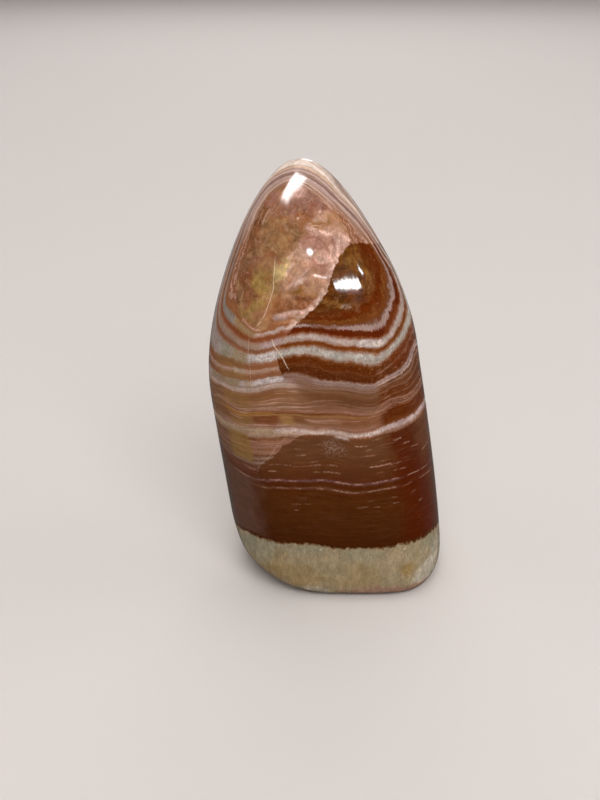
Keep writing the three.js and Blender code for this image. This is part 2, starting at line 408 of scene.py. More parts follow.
# Each patch: bearing, height, half-length and half-width in mm, tilt, colour,
# and how strongly it covers what is under it.
LIGHT_PATCHES = [
    (-52.6, 96, 9.4, 9, -5, "olive_brown", 0.8),
    (-21.4, 94.8, 5.3, 5.1, -46, "olive_brown", 0.7),
    (-3.6, 101.3, 7.2, 3.2, 1, "mauve_brown", 0.8),
    (20.5, 92.2, 7.3, 5.9, 57, "pink", 0.9),
    (63.3, 96.2, 5.3, 3.4, -7, "orange_tan", 0.9),
    (-6.4, 84.5, 6.2, 4.9, 4, "pink_tan", 0.85),
    (-38, 83.8, 5.6, 5.3, 12, "ochre", 0.6),
    (-61, 81.1, 6.9, 4.1, -79, "olive_brown", 0.8),
    (-5.8, 78.6, 7.2, 2.3, 5, "orange_brown", 0.85),
    (-30.8, 74.8, 8.3, 2, 11, "orange_tan", 0.8),
    (-64.9, 97.7, 3.4, 3.2, -62, "dark_line", 0.95),
    (-60.9, 91.4, 4, 3.7, -17, "rust_brown", 0.6),
    (-56.3, 83.8, 4.3, 2, 13, "rust_brown", 0.9),
    (-48.9, 79.8, 3.6, 1.8, 14, "rust_brown", 0.75),
    (-63.1, 77, 3.3, 1.6, -59, "rust_brown", 0.7),
    (-41.2, 88.3, 4.3, 2, 10, "tan", 0.6),
    (-38, 83.8, 3.1, 2.4, 10, "ochre", 0.9),
    (-41.9, 78.3, 2.7, 1.2, 31, "ochre", 0.8),
    (-49.3, 75.3, 2.9, 1.5, -1, "ochre", 0.7),
    (-23.7, 86.4, 2.2, 1.8, 59, "cream_ochre", 0.9),
    (-16.2, 88.9, 1.8, 1.6, 34, "cream_ochre", 0.6),
    (-22.6, 92.1, 2.6, 2.2, -2, "olive_brown", 0.7),
    (-5.7, 88.9, 2.4, 1.8, 4, "pink_tan", 0.7),
    (5.8, 90.7, 3.1, 1.5, 2, "pale_pink", 0.8),
    (24.6, 95.4, 3.9, 1.1, -7, "pale_pink", 0.9),
    (37.1, 92.7, 3, 1.7, 25, "pale_pink", 0.9),
    (19.5, 89.6, 3.5, 0.9, 4, "pale_pink", 0.9),
    (15.3, 93.1, 2.1, 1.3, 5, "pink", 0.9),
    (22.7, 97.6, 3.1, 1.5, 1, "orange_tan", 1),
    (39.8, 96.1, 2.7, 1.5, -2, "pink_tan", 0.7),
    (0.1, 98.9, 2.2, 1.3, 3, "orange_brown", 0.8),
    (24.9, 99.3, 1.9, 0.6, -2, "pink_tan", 0.8),
    (-2.4, 82.4, 3.9, 1.3, 5, "ochre_brown", 0.95),
    (-5.4, 80.6, 3.1, 0.5, -3, "dark_line", 0.8),
    (-15.1, 83.6, 1.9, 1.3, 1, "pink_tan", 0.6),
    (7.6, 83.6, 2.7, 1.5, 20, "pink_tan", 0.7),
    (22, 88, 1.9, 1.2, 28, "pink", 0.7),
    (-21.9, 76.5, 1.4, 0.7, 12, "lilac", 0.9),
    (-36.5, 74.3, 1.1, 0.7, 13, "olive_brown", 0.8),
    (-20.6, 74.5, 3.5, 0.7, 9, "rust_orange", 0.8),
    (-44.4, 72.5, 2.4, 0.8, -6, "rust_orange", 0.7),
    (-13.9, 77.2, 2.6, 0.5, 8, "pale_pink", 0.7),
    (-25, 80.1, 2.5, 1.1, 12, "orange_brown", 0.7),
    (-3.3, 104.4, 2.9, 1.6, 1, "pink", 0.8),
    (25.1, 102.7, 2.7, 1.5, -35, "mauve_brown", 0.8),
    (-34.2, 100.8, 2.6, 1.1, 20, "rust_brown", 0.5),
    (-58.8, 101.5, 2.1, 1.4, 22, "mauve_brown", 0.7),
    (-76.4, 83.7, 3.2, 1.5, -76, "mauve_brown", 0.5),
]
DARK_PATCHES = [
    (55.3, 88.4, 7.2, 3.7, -12, "amber_brown", 0.95),
    (32, 87, 2.2, 1.7, 11, "dark_brown", 0.8),
    (38.7, 88.7, 1.7, 0.9, -5, "amber_tan", 0.7),
    (53, 81.2, 4.9, 3.4, 4, "amber_tan", 0.75),
    (68.2, 85.7, 3.4, 2.3, 63, "dark_brown", 0.8),
    (29, 81, 5.2, 1.4, -3, "dark_brown", 0.95),
    (38.8, 79.3, 2.4, 1.1, -7, "plum", 0.6),
    (20, 79.3, 3.1, 0.9, -10, "amber_tan", 0.6),
    (15.8, 76.8, 6.2, 0.9, 0, "deep_rust", 0.95),
    (37.5, 75.9, 4.6, 0.7, -4, "rust", 0.7),
    (26.3, 75.4, 7.1, 0.7, -4, "amber_brown", 0.9),
    (30.7, 78.3, 2, 0.7, -18, "wisp", 0.75),
    (41.6, 77.1, 2.3, 0.7, -7, "wisp", 0.7),
    (55.4, 78.4, 2.1, 1, 9, "wisp", 0.8),
    (66.5, 80.4, 3.9, 1.2, 66, "rust", 0.8),
    (65, 77, 3.7, 1.1, 42, "rust_orange", 0.5),
    # The next patch, a plum streak just under the front highlight, is a painted reflection: the soft glow round that
    # highlight, painted into the colour.
    (35, 82.2, 3.7, 0.7, -6, "plum", 0.7),
    (10.6, 75.1, 3.8, 0.7, -1, "plum", 0.6),
    (51.9, 90.4, 2.8, 0.9, -10, "amber_brown", 0.8),
]
BASE_PATCHES = [
    (-50, 12.8, 6.3, 4.1, 25, "cream_grey", 0.8),
    (-29.8, 6.8, 7.6, 3.5, -4, "ochre_cream", 0.8),
    (5.3, 7.1, 7.3, 3.3, 1, "ochre_cream", 0.7),
    (37, 8.1, 2.7, 2.4, -57, "ochre_cream", 0.95),
    (36.4, 8.5, 1.7, 1.6, -67, "ochre", 0.5),
    (-21.3, 2.2, 3.9, 1.8, -9, "cream_white", 0.7),
    (51.6, 5.8, 6.2, 3.1, 23, "cream_white", 0.95),
    (63.3, 9.7, 3.8, 2.4, 14, "cream_white", 0.6),
    (41.5, 1.6, 6.3, 1.7, -6, "rose", 0.9),
    (16.2, 1.9, 9.2, 1.7, -1, "rose", 0.8),
    (-16, 16.1, 2.3, 1.3, 5, "cream_grey", 0.8),
    (-26.8, 15.3, 7.2, 1.6, -2, "cream_grey", 0.7),
    (10.3, 13.8, 6.7, 1.6, -1, "cream_grey", 0.6),
    (29.8, 12.6, 2.3, 2.1, -27, "cream_tan", 0.7),
    (24.9, 9.4, 3.2, 2.5, 87, "cream_tan", 0.6),
    (-65.3, 12.1, 6.3, 1.9, 41, "cream_grey", 0.9),
    (55.9, 13.1, 4.3, 1.8, -20, "cream_grey", 0.7),
    (-4.2, 9.4, 3.7, 3.2, 20, "cream", 0.6),
    (-40.6, 10.2, 4.5, 2.4, 60, "ochre_cream", 0.5),
]
# The far side has patches of its own.
LIGHT_PATCHES += [
    (180, 84, 9, 7, 20, "pink", 0.8), (196, 88, 6, 5, -20, "olive_brown", 0.8), (168, 90, 5, 4, 0, "orange_tan", 0.8),
    (186, 80, 5, 2, 10, "pale_pink", 0.8), (205, 80, 4, 3, 0, "ochre", 0.8), (174, 96, 5, 3, 0, "mauve_brown", 0.7),
    (190, 93, 3, 2, 0, "cream_ochre", 0.8), (176, 86, 3, 1.4, 30, "pale_pink", 0.8), (160, 82, 4, 3, 0, "rust_brown", 0.7),
]
DARK_PATCHES += [
    (170, 78, 6, 3, 0, "amber_brown", 0.9), (185, 77, 5, 2, 10, "amber_tan", 0.8), (158, 76, 4, 3, 0, "rust", 0.8),
]
BASE_PATCHES += [
    (120, 8, 9, 4, 10, "ochre_cream", 0.8), (165, 6, 12, 3, 0, "cream_white", 0.6), (200, 10, 8, 4, 10, "cream_grey", 0.8),
    (235, 7, 9, 4, -10, "ochre_cream", 0.8), (150, 12, 6, 2, 0, "cream_tan", 0.7), (265, 11, 6, 4, 0, "cream_tan", 0.6),
    (180, 2, 20, 2, 0, "rose", 0.7), (95, 12, 6, 3, 0, "cream_grey", 0.7),
]


def linear(rgb):
    """An sRGB colour of 0-255 as the linear one that a shader takes."""
    c = np.asarray(rgb, float) / 255
    return np.where(c <= 0.04045, c / 12.92, ((c + 0.055) / 1.055) ** 2.4)


def patched(p, bearing, ground, patches, seed):
    """Colours of the points: a ground colour with soft ragged patches on it."""
    colour = np.tile(linear(PALETTE[ground]), (len(p), 1))
    ragged = 0.5 * fractal(p, 3.4, seed) + 0.34 * fractal(p, 1.3, seed + 5, 2)
    for b, z, long, wide, tilt, name, strength in patches:
        centre, r = on_stone(b, z)
        near = np.linalg.norm(p - centre, axis=1) < 2.2 * long + 3
        if not near.any():
            continue
        u = np.radians((bearing[near] - b + 180) % 360 - 180) * float(r)
        v = p[near, 2] - z
        t = math.radians(tilt)
        e = np.hypot((u * math.cos(t) + v * math.sin(t)) / long, (-u * math.sin(t) + v * math.cos(t)) / wide)
        m = np.clip((1.25 - e + ragged[near]) / 0.5, 0, 1)
        m = m * m * (3 - 2 * m) * strength
        colour[near] = colour[near] * (1 - m[:, None]) + linear(PALETTE[name]) * m[:, None]
    return colour


# ---- thin marks -------------------------------------------------------------------------
# Pale dashes in the dark strata: first bearing, last bearing, depth, strength.
DASHES = [
    (-66, -53, 39.1, 0.75), (-44, -41, 38.8, 0.5), (-35, -31, 38.8, 1.0), (-25, -22, 38.9, 0.5), (-8, -6.5, 38.9, 0.9),
    (3, 10, 38.95, 1.0), (14.5, 17.5, 38.9, 0.85), (25, 33, 38.8, 0.6), (38, 41, 38.8, 0.75), (51, 61, 38.9, 0.9), (65, 71, 38.9, 0.55),
    (-42, -40, 41.2, 0.4), (-33, -27, 41.0, 0.45), (-22, -20, 41.2, 0.5), (-9, -7.5, 41.2, 0.6), (0, 15, 41.05, 0.6),
    (22, 32, 41.1, 0.5), (33.5, 37.5, 41.1, 0.85), (61, 76, 41.7, 0.5), (45, 52, 41.3, 0.25),
    (18.5, 24, 28.5, 0.9), (24.5, 27, 29.7, 0.55), (23, 28, 31.3, 0.5), (45, 51, 28.5, 0.9), (53.5, 58, 30.2, 0.75),
    (60, 67, 31.6, 0.4), (71, 79, 33.3, 0.6), (32, 34.5, 33.1, 0.35), (25, 38, 34.3, 0.9), (38, 46, 34.7, 0.5),
    (0, 4, 34.9, 0.6), (0, 5, 36.7, 0.5), (29, 31, 36.2, 0.3), (40.5, 41.5, 36.5, 0.5), (45.5, 49, 36.6, 0.55),
    (-10, -8, 33.9, 0.45), (-8.5, -6.5, 34.8, 0.5), (-18.5, -15, 31.9, 0.55), (-5.5, -4.5, 29.5, 0.4), (-9.5, -8, 36.7, 0.45),
    (-3.5, -0.5, 36.7, 0.65), (-36, -33, 36.4, 0.65), (-51, -47, 35.9, 0.7), (-40, -36, 32.8, 0.5), (-34, -32.5, 31.5, 0.45),
    (-44, -39, 34.2, 0.5), (-35, -24, 34.5, 0.3), (-22, -10, 34.8, 0.22), (-19, -16, 30.4, 0.3), (30, 33, 27.3, 0.3),
    (35, 37, 43.8, 0.3), (14, 18.5, 45.6, 0.4), (24, 26, 46, 0.35), (35, 38, 45.5, 0.35), (50, 53, 44.3, 0.4), (21, 23.5, 44, 0.2),
    (55, 57.5, 48.1, 0.45), (-25, -22, 46, 0.35), (-24.5, -23.5, 47.8, 0.4), (-20, -18, 44, 0.2), (-18, -16, 45.8, 0.25),
    (112, 121, 38.9, 0.7), (133, 150, 38.8, 0.5), (158, 164, 39.0, 0.9), (176, 190, 38.9, 0.55), (204, 211, 38.8, 0.8), (228, 240, 39.0, 0.6),
    (120, 134, 41.1, 0.5), (150, 156, 41.0, 0.7), (182, 200, 41.2, 0.5), (215, 222, 41.1, 0.8), (240, 252, 41.0, 0.5),
    (118, 123, 30.5, 0.7), (140, 149, 32.6, 0.6), (153, 157, 28.8, 0.8), (166, 176, 34.2, 0.6), (171, 175, 30.1, 0.5), (186, 195, 36.1, 0.6),
    (199, 203, 31.4, 0.7), (209, 219, 34.4, 0.6), (128, 131, 36.2, 0.5), (232, 238, 36.5, 0.5), (146, 150, 45.2, 0.35), (190, 193, 44.4, 0.3),
]

# Fine cracks and scratches, and a few short broad pale marks that are painted glints: half-width in mm, strength, and
# (bearing, height) points.
CRACKS_AND_GLINTS = [
    (0.09, 0.8, [(-29.2, 90.2), (-28.6, 87.6), (-28.7, 84.6), (-28.0, 82.9), (-30.8, 79.5), (-34.0, 76.4), (-37.6, 74.4), (-40.5, 73.0)]),
    (0.07, 0.4, [(-44.5, 71.5), (-45, 68), (-45.1, 66), (-43.3, 63.2), (-43.0, 61.2), (-43.5, 58.5)]),
    (0.14, 0.8, [(-28.3, 71.6), (-26.5, 69.6), (-23.2, 68.1), (-21.0, 66.6), (-19.2, 65.0), (-17.8, 64.0)]),
    (0.09, 0.5, [(-7.5, 102.6), (-3.5, 103.3), (3.5, 104.6)]),
    (0.09, 0.45, [(-60.0, 95.5), (-59.5, 97.4)]),
    (0.09, 0.4, [(-34.0, 104.5), (-38.0, 102.0), (-45.0, 99.0), (-49.0, 97.0)]),
    (0.08, 0.25, [(-23.5, 47.5), (-29.5, 45.0), (-35, 41.5), (-41.5, 38.8), (-45.6, 35.5)]),
    # The two short broad marks on the next line, at the top of the base layer, are painted glints: sparkles of light on
    # small pits, painted pale.
    (0.34, 0.9, [(-15.1, 15.5), (-13.7, 15.5)]), (0.3, 0.8, [(36.0, 14.5), (37.2, 14.6)]),
    # On the next line the first mark is a small pale spot in the rock; the second, at height 98.6, is a painted glint,
    # a small highlight painted pale.
    (0.34, 0.7, [(-5.6, 84.2), (-3.8, 84.3)]), (0.36, 0.7, [(-8.0, 98.6), (-5.2, 98.4)]),
    (0.09, 0.4, [(168, 74), (172, 80), (170, 86), (175, 92), (173, 97)]),
    (0.08, 0.35, [(206, 60), (200, 66), (203, 71), (197, 77)]),
]


# Creases in the bleached core, pale ones and dark ones, given as the cracks are.
PALE_FOLDS = [
    (0.42, 0.95, [(0.5, 96.6), (7.5, 96.3), (15.1, 95.7), (22.3, 95.2), (29.5, 95), (35.5, 95.3)]),
    (0.42, 0.95, [(36.5, 95.2), (41.3, 94.3), (44.7, 93.4), (50, 92.6)]),
    (0.38, 0.75, [(38.5, 94.2), (34.5, 92.8), (32.1, 91.4), (29, 89.7)]),
    (0.36, 0.7, [(9.9, 88.9), (16.3, 88.8), (22.7, 89.1), (29.2, 89.5)]),
    (0.3, 0.55, [(25.9, 92.8), (26.1, 91.5), (24.3, 90)]),
    (0.5, 0.4, [(11, 97.9), (21, 98.5), (29.9, 97.7)]),
    (0.34, 0.5, [(20.8, 99.7), (25.3, 99.9)]),
    (0.3, 0.6, [(-5, 93.1), (-4.3, 91.6), (-1.5, 90.2)]),
    (0.36, 0.6, [(-10.6, 88.9), (-14.3, 88), (-17, 86.9), (-19.4, 85.5)]),
    (0.4, 0.5, [(-6.3, 91.8), (-12.5, 90.7), (-18.1, 89.3)]),
    (0.3, 0.45, [(-6, 87.1), (-9.8, 85.6), (-13.4, 84), (-18.3, 82.9)]),
    (0.3, 0.4, [(2.7, 87.6), (-3.3, 86.2), (-8.1, 84.7)]),
    (0.45, 0.6, [(-26.1, 76.6), (-21.9, 76.9), (-16.8, 77.5), (-10, 77.7), (-2.8, 77.6)]),
    (0.4, 0.6, [(-53.1, 74.5), (-47.4, 73.4), (-41.8, 72.7), (-34.8, 72.5)]),
    (0.3, 0.5, [(8.8, 105.2), (19.2, 105.5), (27.2, 104.9)]),
    (0.3, 0.5, [(30.7, 103), (38.8, 102.2), (45.6, 100.9), (50.7, 99.2)]),
    (0.4, 0.35, [(27, 102.6), (36.3, 101.3), (42, 99.9)]),
    (0.26, 0.4, [(-52.1, 95.8), (-52.4, 97.3), (-49.6, 99), (-45.4, 100.2)]),
    (0.28, 0.4, [(-74.1, 85.9), (-74.2, 83.4), (-72.7, 80.7), (-68.1, 78.2)]),
    (0.4, 0.8, [(170, 86), (176, 87.5), (183, 87), (189, 88.5)]),
    (0.36, 0.7, [(178, 83), (185, 82), (190, 84), (195, 83.5)]),
    (0.3, 0.6, [(166, 91), (172, 92), (179, 90.5)]),
]
DARK_FOLDS = [
    (0.32, 0.6, [(1.7, 93.8), (7.6, 94.5), (14, 94.3), (18.6, 93.5), (22, 92.7)]),
    (0.3, 0.5, [(8.5, 92.2), (13.4, 91.8), (18.6, 92.2)]),
    (0.34, 0.55, [(9.6, 88.4), (15.8, 88), (23.2, 88.6)]),
    (0.4, 0.6, [(-12.7, 81), (-7, 80.6), (-0.2, 80.9), (4.1, 81.2)]),
    (0.32, 0.5, [(-19, 78.8), (-12.2, 78.4), (-5, 78.5), (3.4, 79)]),
    (0.5, 0.35, [(8, 101.4), (18.7, 101.2), (27, 101.9)]),
    (0.3, 0.45, [(0.4, 99.8), (6.7, 98.9), (11.7, 98.7)]),
    (0.34, 0.5, [(-62, 86.9), (-56.4, 88), (-47.8, 88.8), (-39.5, 88.8)]),
    (0.32, 0.5, [(-65.1, 84.3), (-55.8, 84.6), (-49.1, 85.5)]),
    (0.3, 0.5, [(36.3, 104.2), (46.7, 103.1), (54.8, 101.5)]),
    (0.34, 0.55, [(-65.3, 99.9), (-65.3, 98.3), (-63.3, 96.6), (-60.4, 94.9)]),
    (0.3, 0.45, [(-59.5, 93.1), (-60.9, 91.4), (-65.5, 89.7)]),
    (0.34, 0.5, [(-29.5, 75.3), (-23.3, 75.7), (-17.7, 76), (-10.9, 76.5)]),
    (0.3, 0.5, [(29.8, 94.5), (30.5, 92.9), (28.2, 91.2)]),
    (0.34, 0.6, [(172, 84.5), (179, 85), (186, 84.3)]),
    (0.3, 0.5, [(184, 91), (190, 90), (196, 91)]),
]


def ease(x):
    x = np.clip(x, 0, 1)
    return x * x * (3 - 2 * x)


def dash_sets(count):
    """The dashes shared out over a few sets, so that no two of a set are close."""
    sets = [[] for _ in range(count)]
    for dash in DASHES:
        def crowding(members):
            worst = 9.0
            for other in members:
                apart = max(dash[0] - other[1], other[0] - dash[1], 0) * 0.45
                worst = min(worst, math.hypot(apart, abs(dash[2] - other[2])))
            return worst
        max(sets, key=crowding).append(dash)
    return sets


def dash_marks(p, bearing, r, depth, dashes):
    """For each point, the depth from the nearest dash, and how strongly it shows."""
    off, shown, best = np.full(len(p), 9.0), np.zeros(len(p)), np.full(len(p), 1e9)
    for first, last, level, strength in dashes:
        middle, half = (first + last) / 2, (last - first) / 2
        u = np.radians(np.abs((bearing - middle + 180) % 360 - 180)) * r
        over = np.maximum(0, u - np.radians(half) * r)
        v = depth - level
        d = np.hypot(over, v)
        near = (d < best) & (np.abs(v) < 4)
        best[near] = d[near]
        off[near] = v[near]
        shown[near] = strength * ease(1 - over[near] / 0.7) * ease((1.0 - np.abs(v[near])) / 0.3)
    return off, shown


def crack_marks(p, bearing, rows):
    """For each point, the signed distance to the nearest of the given lines (cracks, folds and painted glints), and how
    strongly it shows.
    """
    off, shown, best = np.full(len(p), 9.0), np.zeros(len(p)), np.full(len(p), 1e9)
    for half, strength, line in rows:
        q = dense(line, 0.8)
        near = np.linalg.norm(p - q.mean(0), axis=1) < 30
        idx = np.nonzero(near)[0]
        pp = p[idx]
        total = len(q) - 1
        d_best = np.full(len(pp), 1e9)
        s_best = np.zeros(len(pp))
        t_best = np.zeros(len(pp))
        for n, (a, b) in enumerate(zip(q[:-1], q[1:])):
            ab = b - a
            length = max(np.linalg.norm(ab), 1e-6)
            raw = ((pp - a) @ ab) / length ** 2
            t = np.clip(raw, 0, 1)
            away = pp - a - t[:, None] * ab
            d = np.linalg.norm(away, axis=1)
            out = np.cross(ab / length, np.array([a[0], a[1], 0.0]) / max(np.hypot(a[0], a[1]), 1e-6))
            side = np.sign(away @ out + 1e-12)
            m = d < d_best
            d_best[m], s_best[m] = d[m], side[m]
            t_best[m] = (n + t[m]) / total
        m = (d_best < best[idx]) & (d_best < 4)
        sel = idx[m]
        best[sel] = d_best[m]
        off[sel] = s_best[m] * d_best[m] / half
        ends = ease(np.minimum(t_best[m], 1 - t_best[m]) / 0.12)
        shown[sel] = strength * ends * ease((1.6 - d_best[m]) / 0.5)
    return off, shown


# ---- the mesh ---------------------------------------------------------------------------
def ring_heights():
    """Heights of the rings, evenly spaced along the outline of the stone."""
    z = np.concatenate([HEIGHT * (0.5 - 0.5 * np.cos(np.linspace(0, np.pi, 4001)))])
    z[-1] = HEIGHT - 1e-4
    r = section(z, np.radians([90.0, 270.0, 0.0])).mean(1)
    s = np.concatenate([[0], np.cumsum(np.hypot(np.diff(z), np.diff(r)))])
    heights = np.interp(np.linspace(0, s[-1], ROWS + 1), s, z)
    heights[0] = 0
    return heights


def build_mesh():
    heights = ring_heights()
    angles = np.arange(COLUMNS) * 2 * np.pi / COLUMNS
    rings = heights[:-1]
    r = section(rings, angles) - 0.02 * np.sqrt(np.clip(rings / 2.0, 0, 1))[:, None]
    x = (along(CENTRE_X, rings) + SHIFT_X)[:, None] + r * np.sin(angles)[None]
    y = (along(CENTRE_Y, rings) + SHIFT_Y)[:, None] - r * np.cos(angles)[None]
    z = np.repeat(rings[:, None], COLUMNS, 1)
    skin = np.stack([x, y, z], -1).reshape(-1, 3)
    foot = np.array([along(CENTRE_X, np.zeros(1))[0] + SHIFT_X, along(CENTRE_Y, np.zeros(1))[0] + SHIFT_Y, 0.0])
    half = foot + (skin[:COLUMNS] - foot) * 0.5
    top = np.array([CENTRE_X[-1] + SHIFT_X, CENTRE_Y[-1] + SHIFT_Y, HEIGHT])
    points = np.concatenate([skin, half, foot[None], top[None]])
    n_skin = len(skin)
    i_foot, i_top = n_skin + COLUMNS, n_skin + COLUMNS + 1
    faces = []
    k = np.arange(COLUMNS)
    k2 = (k + 1) % COLUMNS
    for row in range(len(rings) - 1):
        a, b = row * COLUMNS, (row + 1) * COLUMNS
        faces += np.stack([a + k, a + k2, b + k2, b + k], -1).tolist()
    last = (len(rings) - 1) * COLUMNS
    faces += np.stack([last + k, last + k2, np.full(COLUMNS, i_top)], -1).tolist()
    faces += np.stack([n_skin + k, n_skin + k2, k2, k], -1).tolist()
    faces += np.stack([np.full(COLUMNS, i_foot), n_skin + k2, n_skin + k], -1).tolist()
    return points, faces, n_skin


points, faces, n_skin = build_mesh()
centre_x, centre_y = along(CENTRE_X, points[:, 2]) + SHIFT_X, along(CENTRE_Y, points[:, 2]) + SHIFT_Y
bearing = np.degrees(np.arctan2(points[:, 0] - centre_x, -(points[:, 1] - centre_y)))
radius = np.hypot(points[:, 0] - centre_x, points[:, 1] - centre_y)

depth = strata_field()(points)
bleached = bleached_field(points, bearing)
light_core = patched(points, bearing, "tan", LIGHT_PATCHES, 11)
dark_core = patched(points, bearing, "dark_brown", DARK_PATCHES, 23)
base_rock = patched(points, bearing, "cream", BASE_PATCHES, 37)
dash_layers = [dash_marks(points, bearing, radius, depth, dashes) for dashes in dash_sets(3)]
crack_layers = {
    "crack_and_glint": crack_marks(points, bearing, CRACKS_AND_GLINTS),
    "pale_fold": crack_marks(points, bearing, PALE_FOLDS),
    "dark_fold": crack_marks(points, bearing, DARK_FOLDS),
}

# Pale crackle in the base layer, on the right and on the far side.
veined = np.zeros(len(points))
for b, z, size in ((58, 8.5, 11.0), (38, 4.5, 6.0), (200, 8.0, 14.0)):
    veined = np.maximum(veined, ease(1.3 - np.linalg.norm(points - on_stone(b, z)[0], axis=1) / size))

# A cluster of pale crystals in the dark rock at the front, and one at the back.
cluster = np.zeros(len(points))
for b, z, size in ((3, 45.0, 3.4), (9, 43.9, 2.2), (166, 44.0, 3.0)):
    cluster = np.maximum(cluster, ease(1.25 - np.linalg.norm(points - on_stone(b, z)[0], axis=1) / size))

mesh = bpy.data.meshes.new("banded_stone")
mesh.from_pydata((points * MM).tolist(), [], faces)
mesh.update()
mesh.shade_smooth()
stone = bpy.data.objects.new("banded_stone", mesh)
bpy.context.scene.collection.objects.link(stone)


def number_layer(name, values):
    layer = mesh.attributes.new(name, "FLOAT", "POINT")
    layer.data.foreach_set("value", np.asarray(values, np.float32))


def colour_layer(name, values):
    layer = mesh.attributes.new(name, "FLOAT_COLOR", "POINT")
    rgba = np.concatenate([values, np.ones((len(values), 1))], 1)
    layer.data.foreach_set("color", rgba.astype(np.float32).ravel())


number_layer("depth", depth)
number_layer("bleached", bleached)
number_layer("cluster", cluster)
number_layer("veined", veined)
for n, (dash_off, dash_shown) in enumerate(dash_layers):
    number_layer("dash_off_%d" % n, dash_off)
    number_layer("dash_shown_%d" % n, dash_shown)
for name, (crack_and_glint_off, crack_and_glint_shown) in crack_layers.items():
    number_layer(name + "_off", crack_and_glint_off)
    number_layer(name + "_shown", crack_and_glint_shown)
# A pale rim lies along the edge of the bleached rock, across the front of the core.
rim = ease((points[:, 2] - 72.5) / 2) * ease((91 - points[:, 2]) / 3) * ease((bearing + 24) / 8) * ease((40 - bearing) / 8)
number_layer("rim", rim)
colour_layer("light_core", light_core)
colour_layer("dark_core", dark_core)
colour_layer("base_rock", base_rock)
# ---- colours of the strata ---------------------------------------------------------------
# The rock logged downwards through the pile: depth in mm, and the colour there.
DARK_LOG = [
    (-6.0, (95, 50, 18)), (-4.6, (106, 60, 28)), (-4.0, (118, 72, 40)), (-3.5, (104, 52, 14)), (-2.8, (96, 36, 3)), (-2.0, (100, 42, 5)),
    (-1.4, (122, 72, 30)), (-0.9, (108, 56, 22)), (-0.55, (110, 70, 50)), (-0.25, (163, 138, 128)), (0.15, (160, 130, 120)),
    (0.45, (95, 35, 10)), (0.9, (85, 28, 5)), (1.5, (95, 36, 10)), (1.9, (130, 75, 45)), (2.3, (158, 124, 108)), (2.7, (180, 158, 146)),
    (3.3, (184, 166, 156)), (3.9, (166, 136, 122)), (4.2, (138, 88, 58)), (4.5, (105, 50, 18)), (5.0, (112, 58, 22)), (5.4, (140, 92, 62)),
    (5.75, (156, 132, 116)), (6.1, (178, 166, 154)), (6.8, (184, 176, 166)), (7.4, (166, 148, 134)), (7.8, (134, 96, 72)),
    (8.2, (105, 55, 22)), (8.7, (88, 38, 6)), (9.6, (92, 40, 10)), (9.9, (105, 58, 30)), (10.15, (88, 42, 14)), (11.0, (80, 34, 8)),
    (11.8, (84, 38, 14)), (12.15, (118, 80, 58)), (12.5, (150, 124, 114)), (12.9, (142, 116, 108)), (13.2, (128, 98, 84)), (13.5, (150, 124, 116)), (13.9, (124, 92, 76)), (14.2, (136, 106, 90)), (14.5, (118, 84, 64)), (14.9, (132, 100, 82)),
    (15.5, (112, 76, 52)), (16.4, (114, 76, 50)), (17.6, (106, 68, 42)), (19.2, (98, 60, 34)), (19.8, (108, 70, 46)), (20.2, (130, 88, 66)),
    (20.5, (172, 132, 118)), (20.85, (170, 130, 112)), (21.05, (118, 62, 35)), (21.4, (110, 52, 22)), (21.75, (132, 85, 58)),
    (21.95, (120, 68, 40)), (22.2, (150, 108, 85)), (22.45, (122, 72, 45)), (23.0, (128, 80, 52)), (23.6, (122, 70, 42)), (24.2, (135, 88, 62)),
    (24.55, (150, 105, 85)), (24.8, (200, 172, 162)), (25.2, (226, 206, 197)), (25.7, (216, 192, 182)), (26.1, (162, 120, 100)),
    (26.5, (112, 68, 40)), (27.3, (104, 64, 38)), (28.5, (100, 62, 36)), (31.0, (98, 60, 34)), (34.0, (94, 54, 28)), (37.0, (86, 45, 20)),
    (38.45, (84, 42, 20)), (38.8, (104, 68, 62)), (39.15, (100, 62, 55)), (39.5, (80, 36, 12)), (40.6, (78, 38, 9)), (41.0, (104, 66, 50)),
    (41.35, (90, 48, 26)), (41.8, (78, 37, 10)), (45.0, (78, 39, 10)), (50.0, (75, 37, 10)), (55.0, (70, 33, 8)), (57.4, (66, 30, 7)),
]
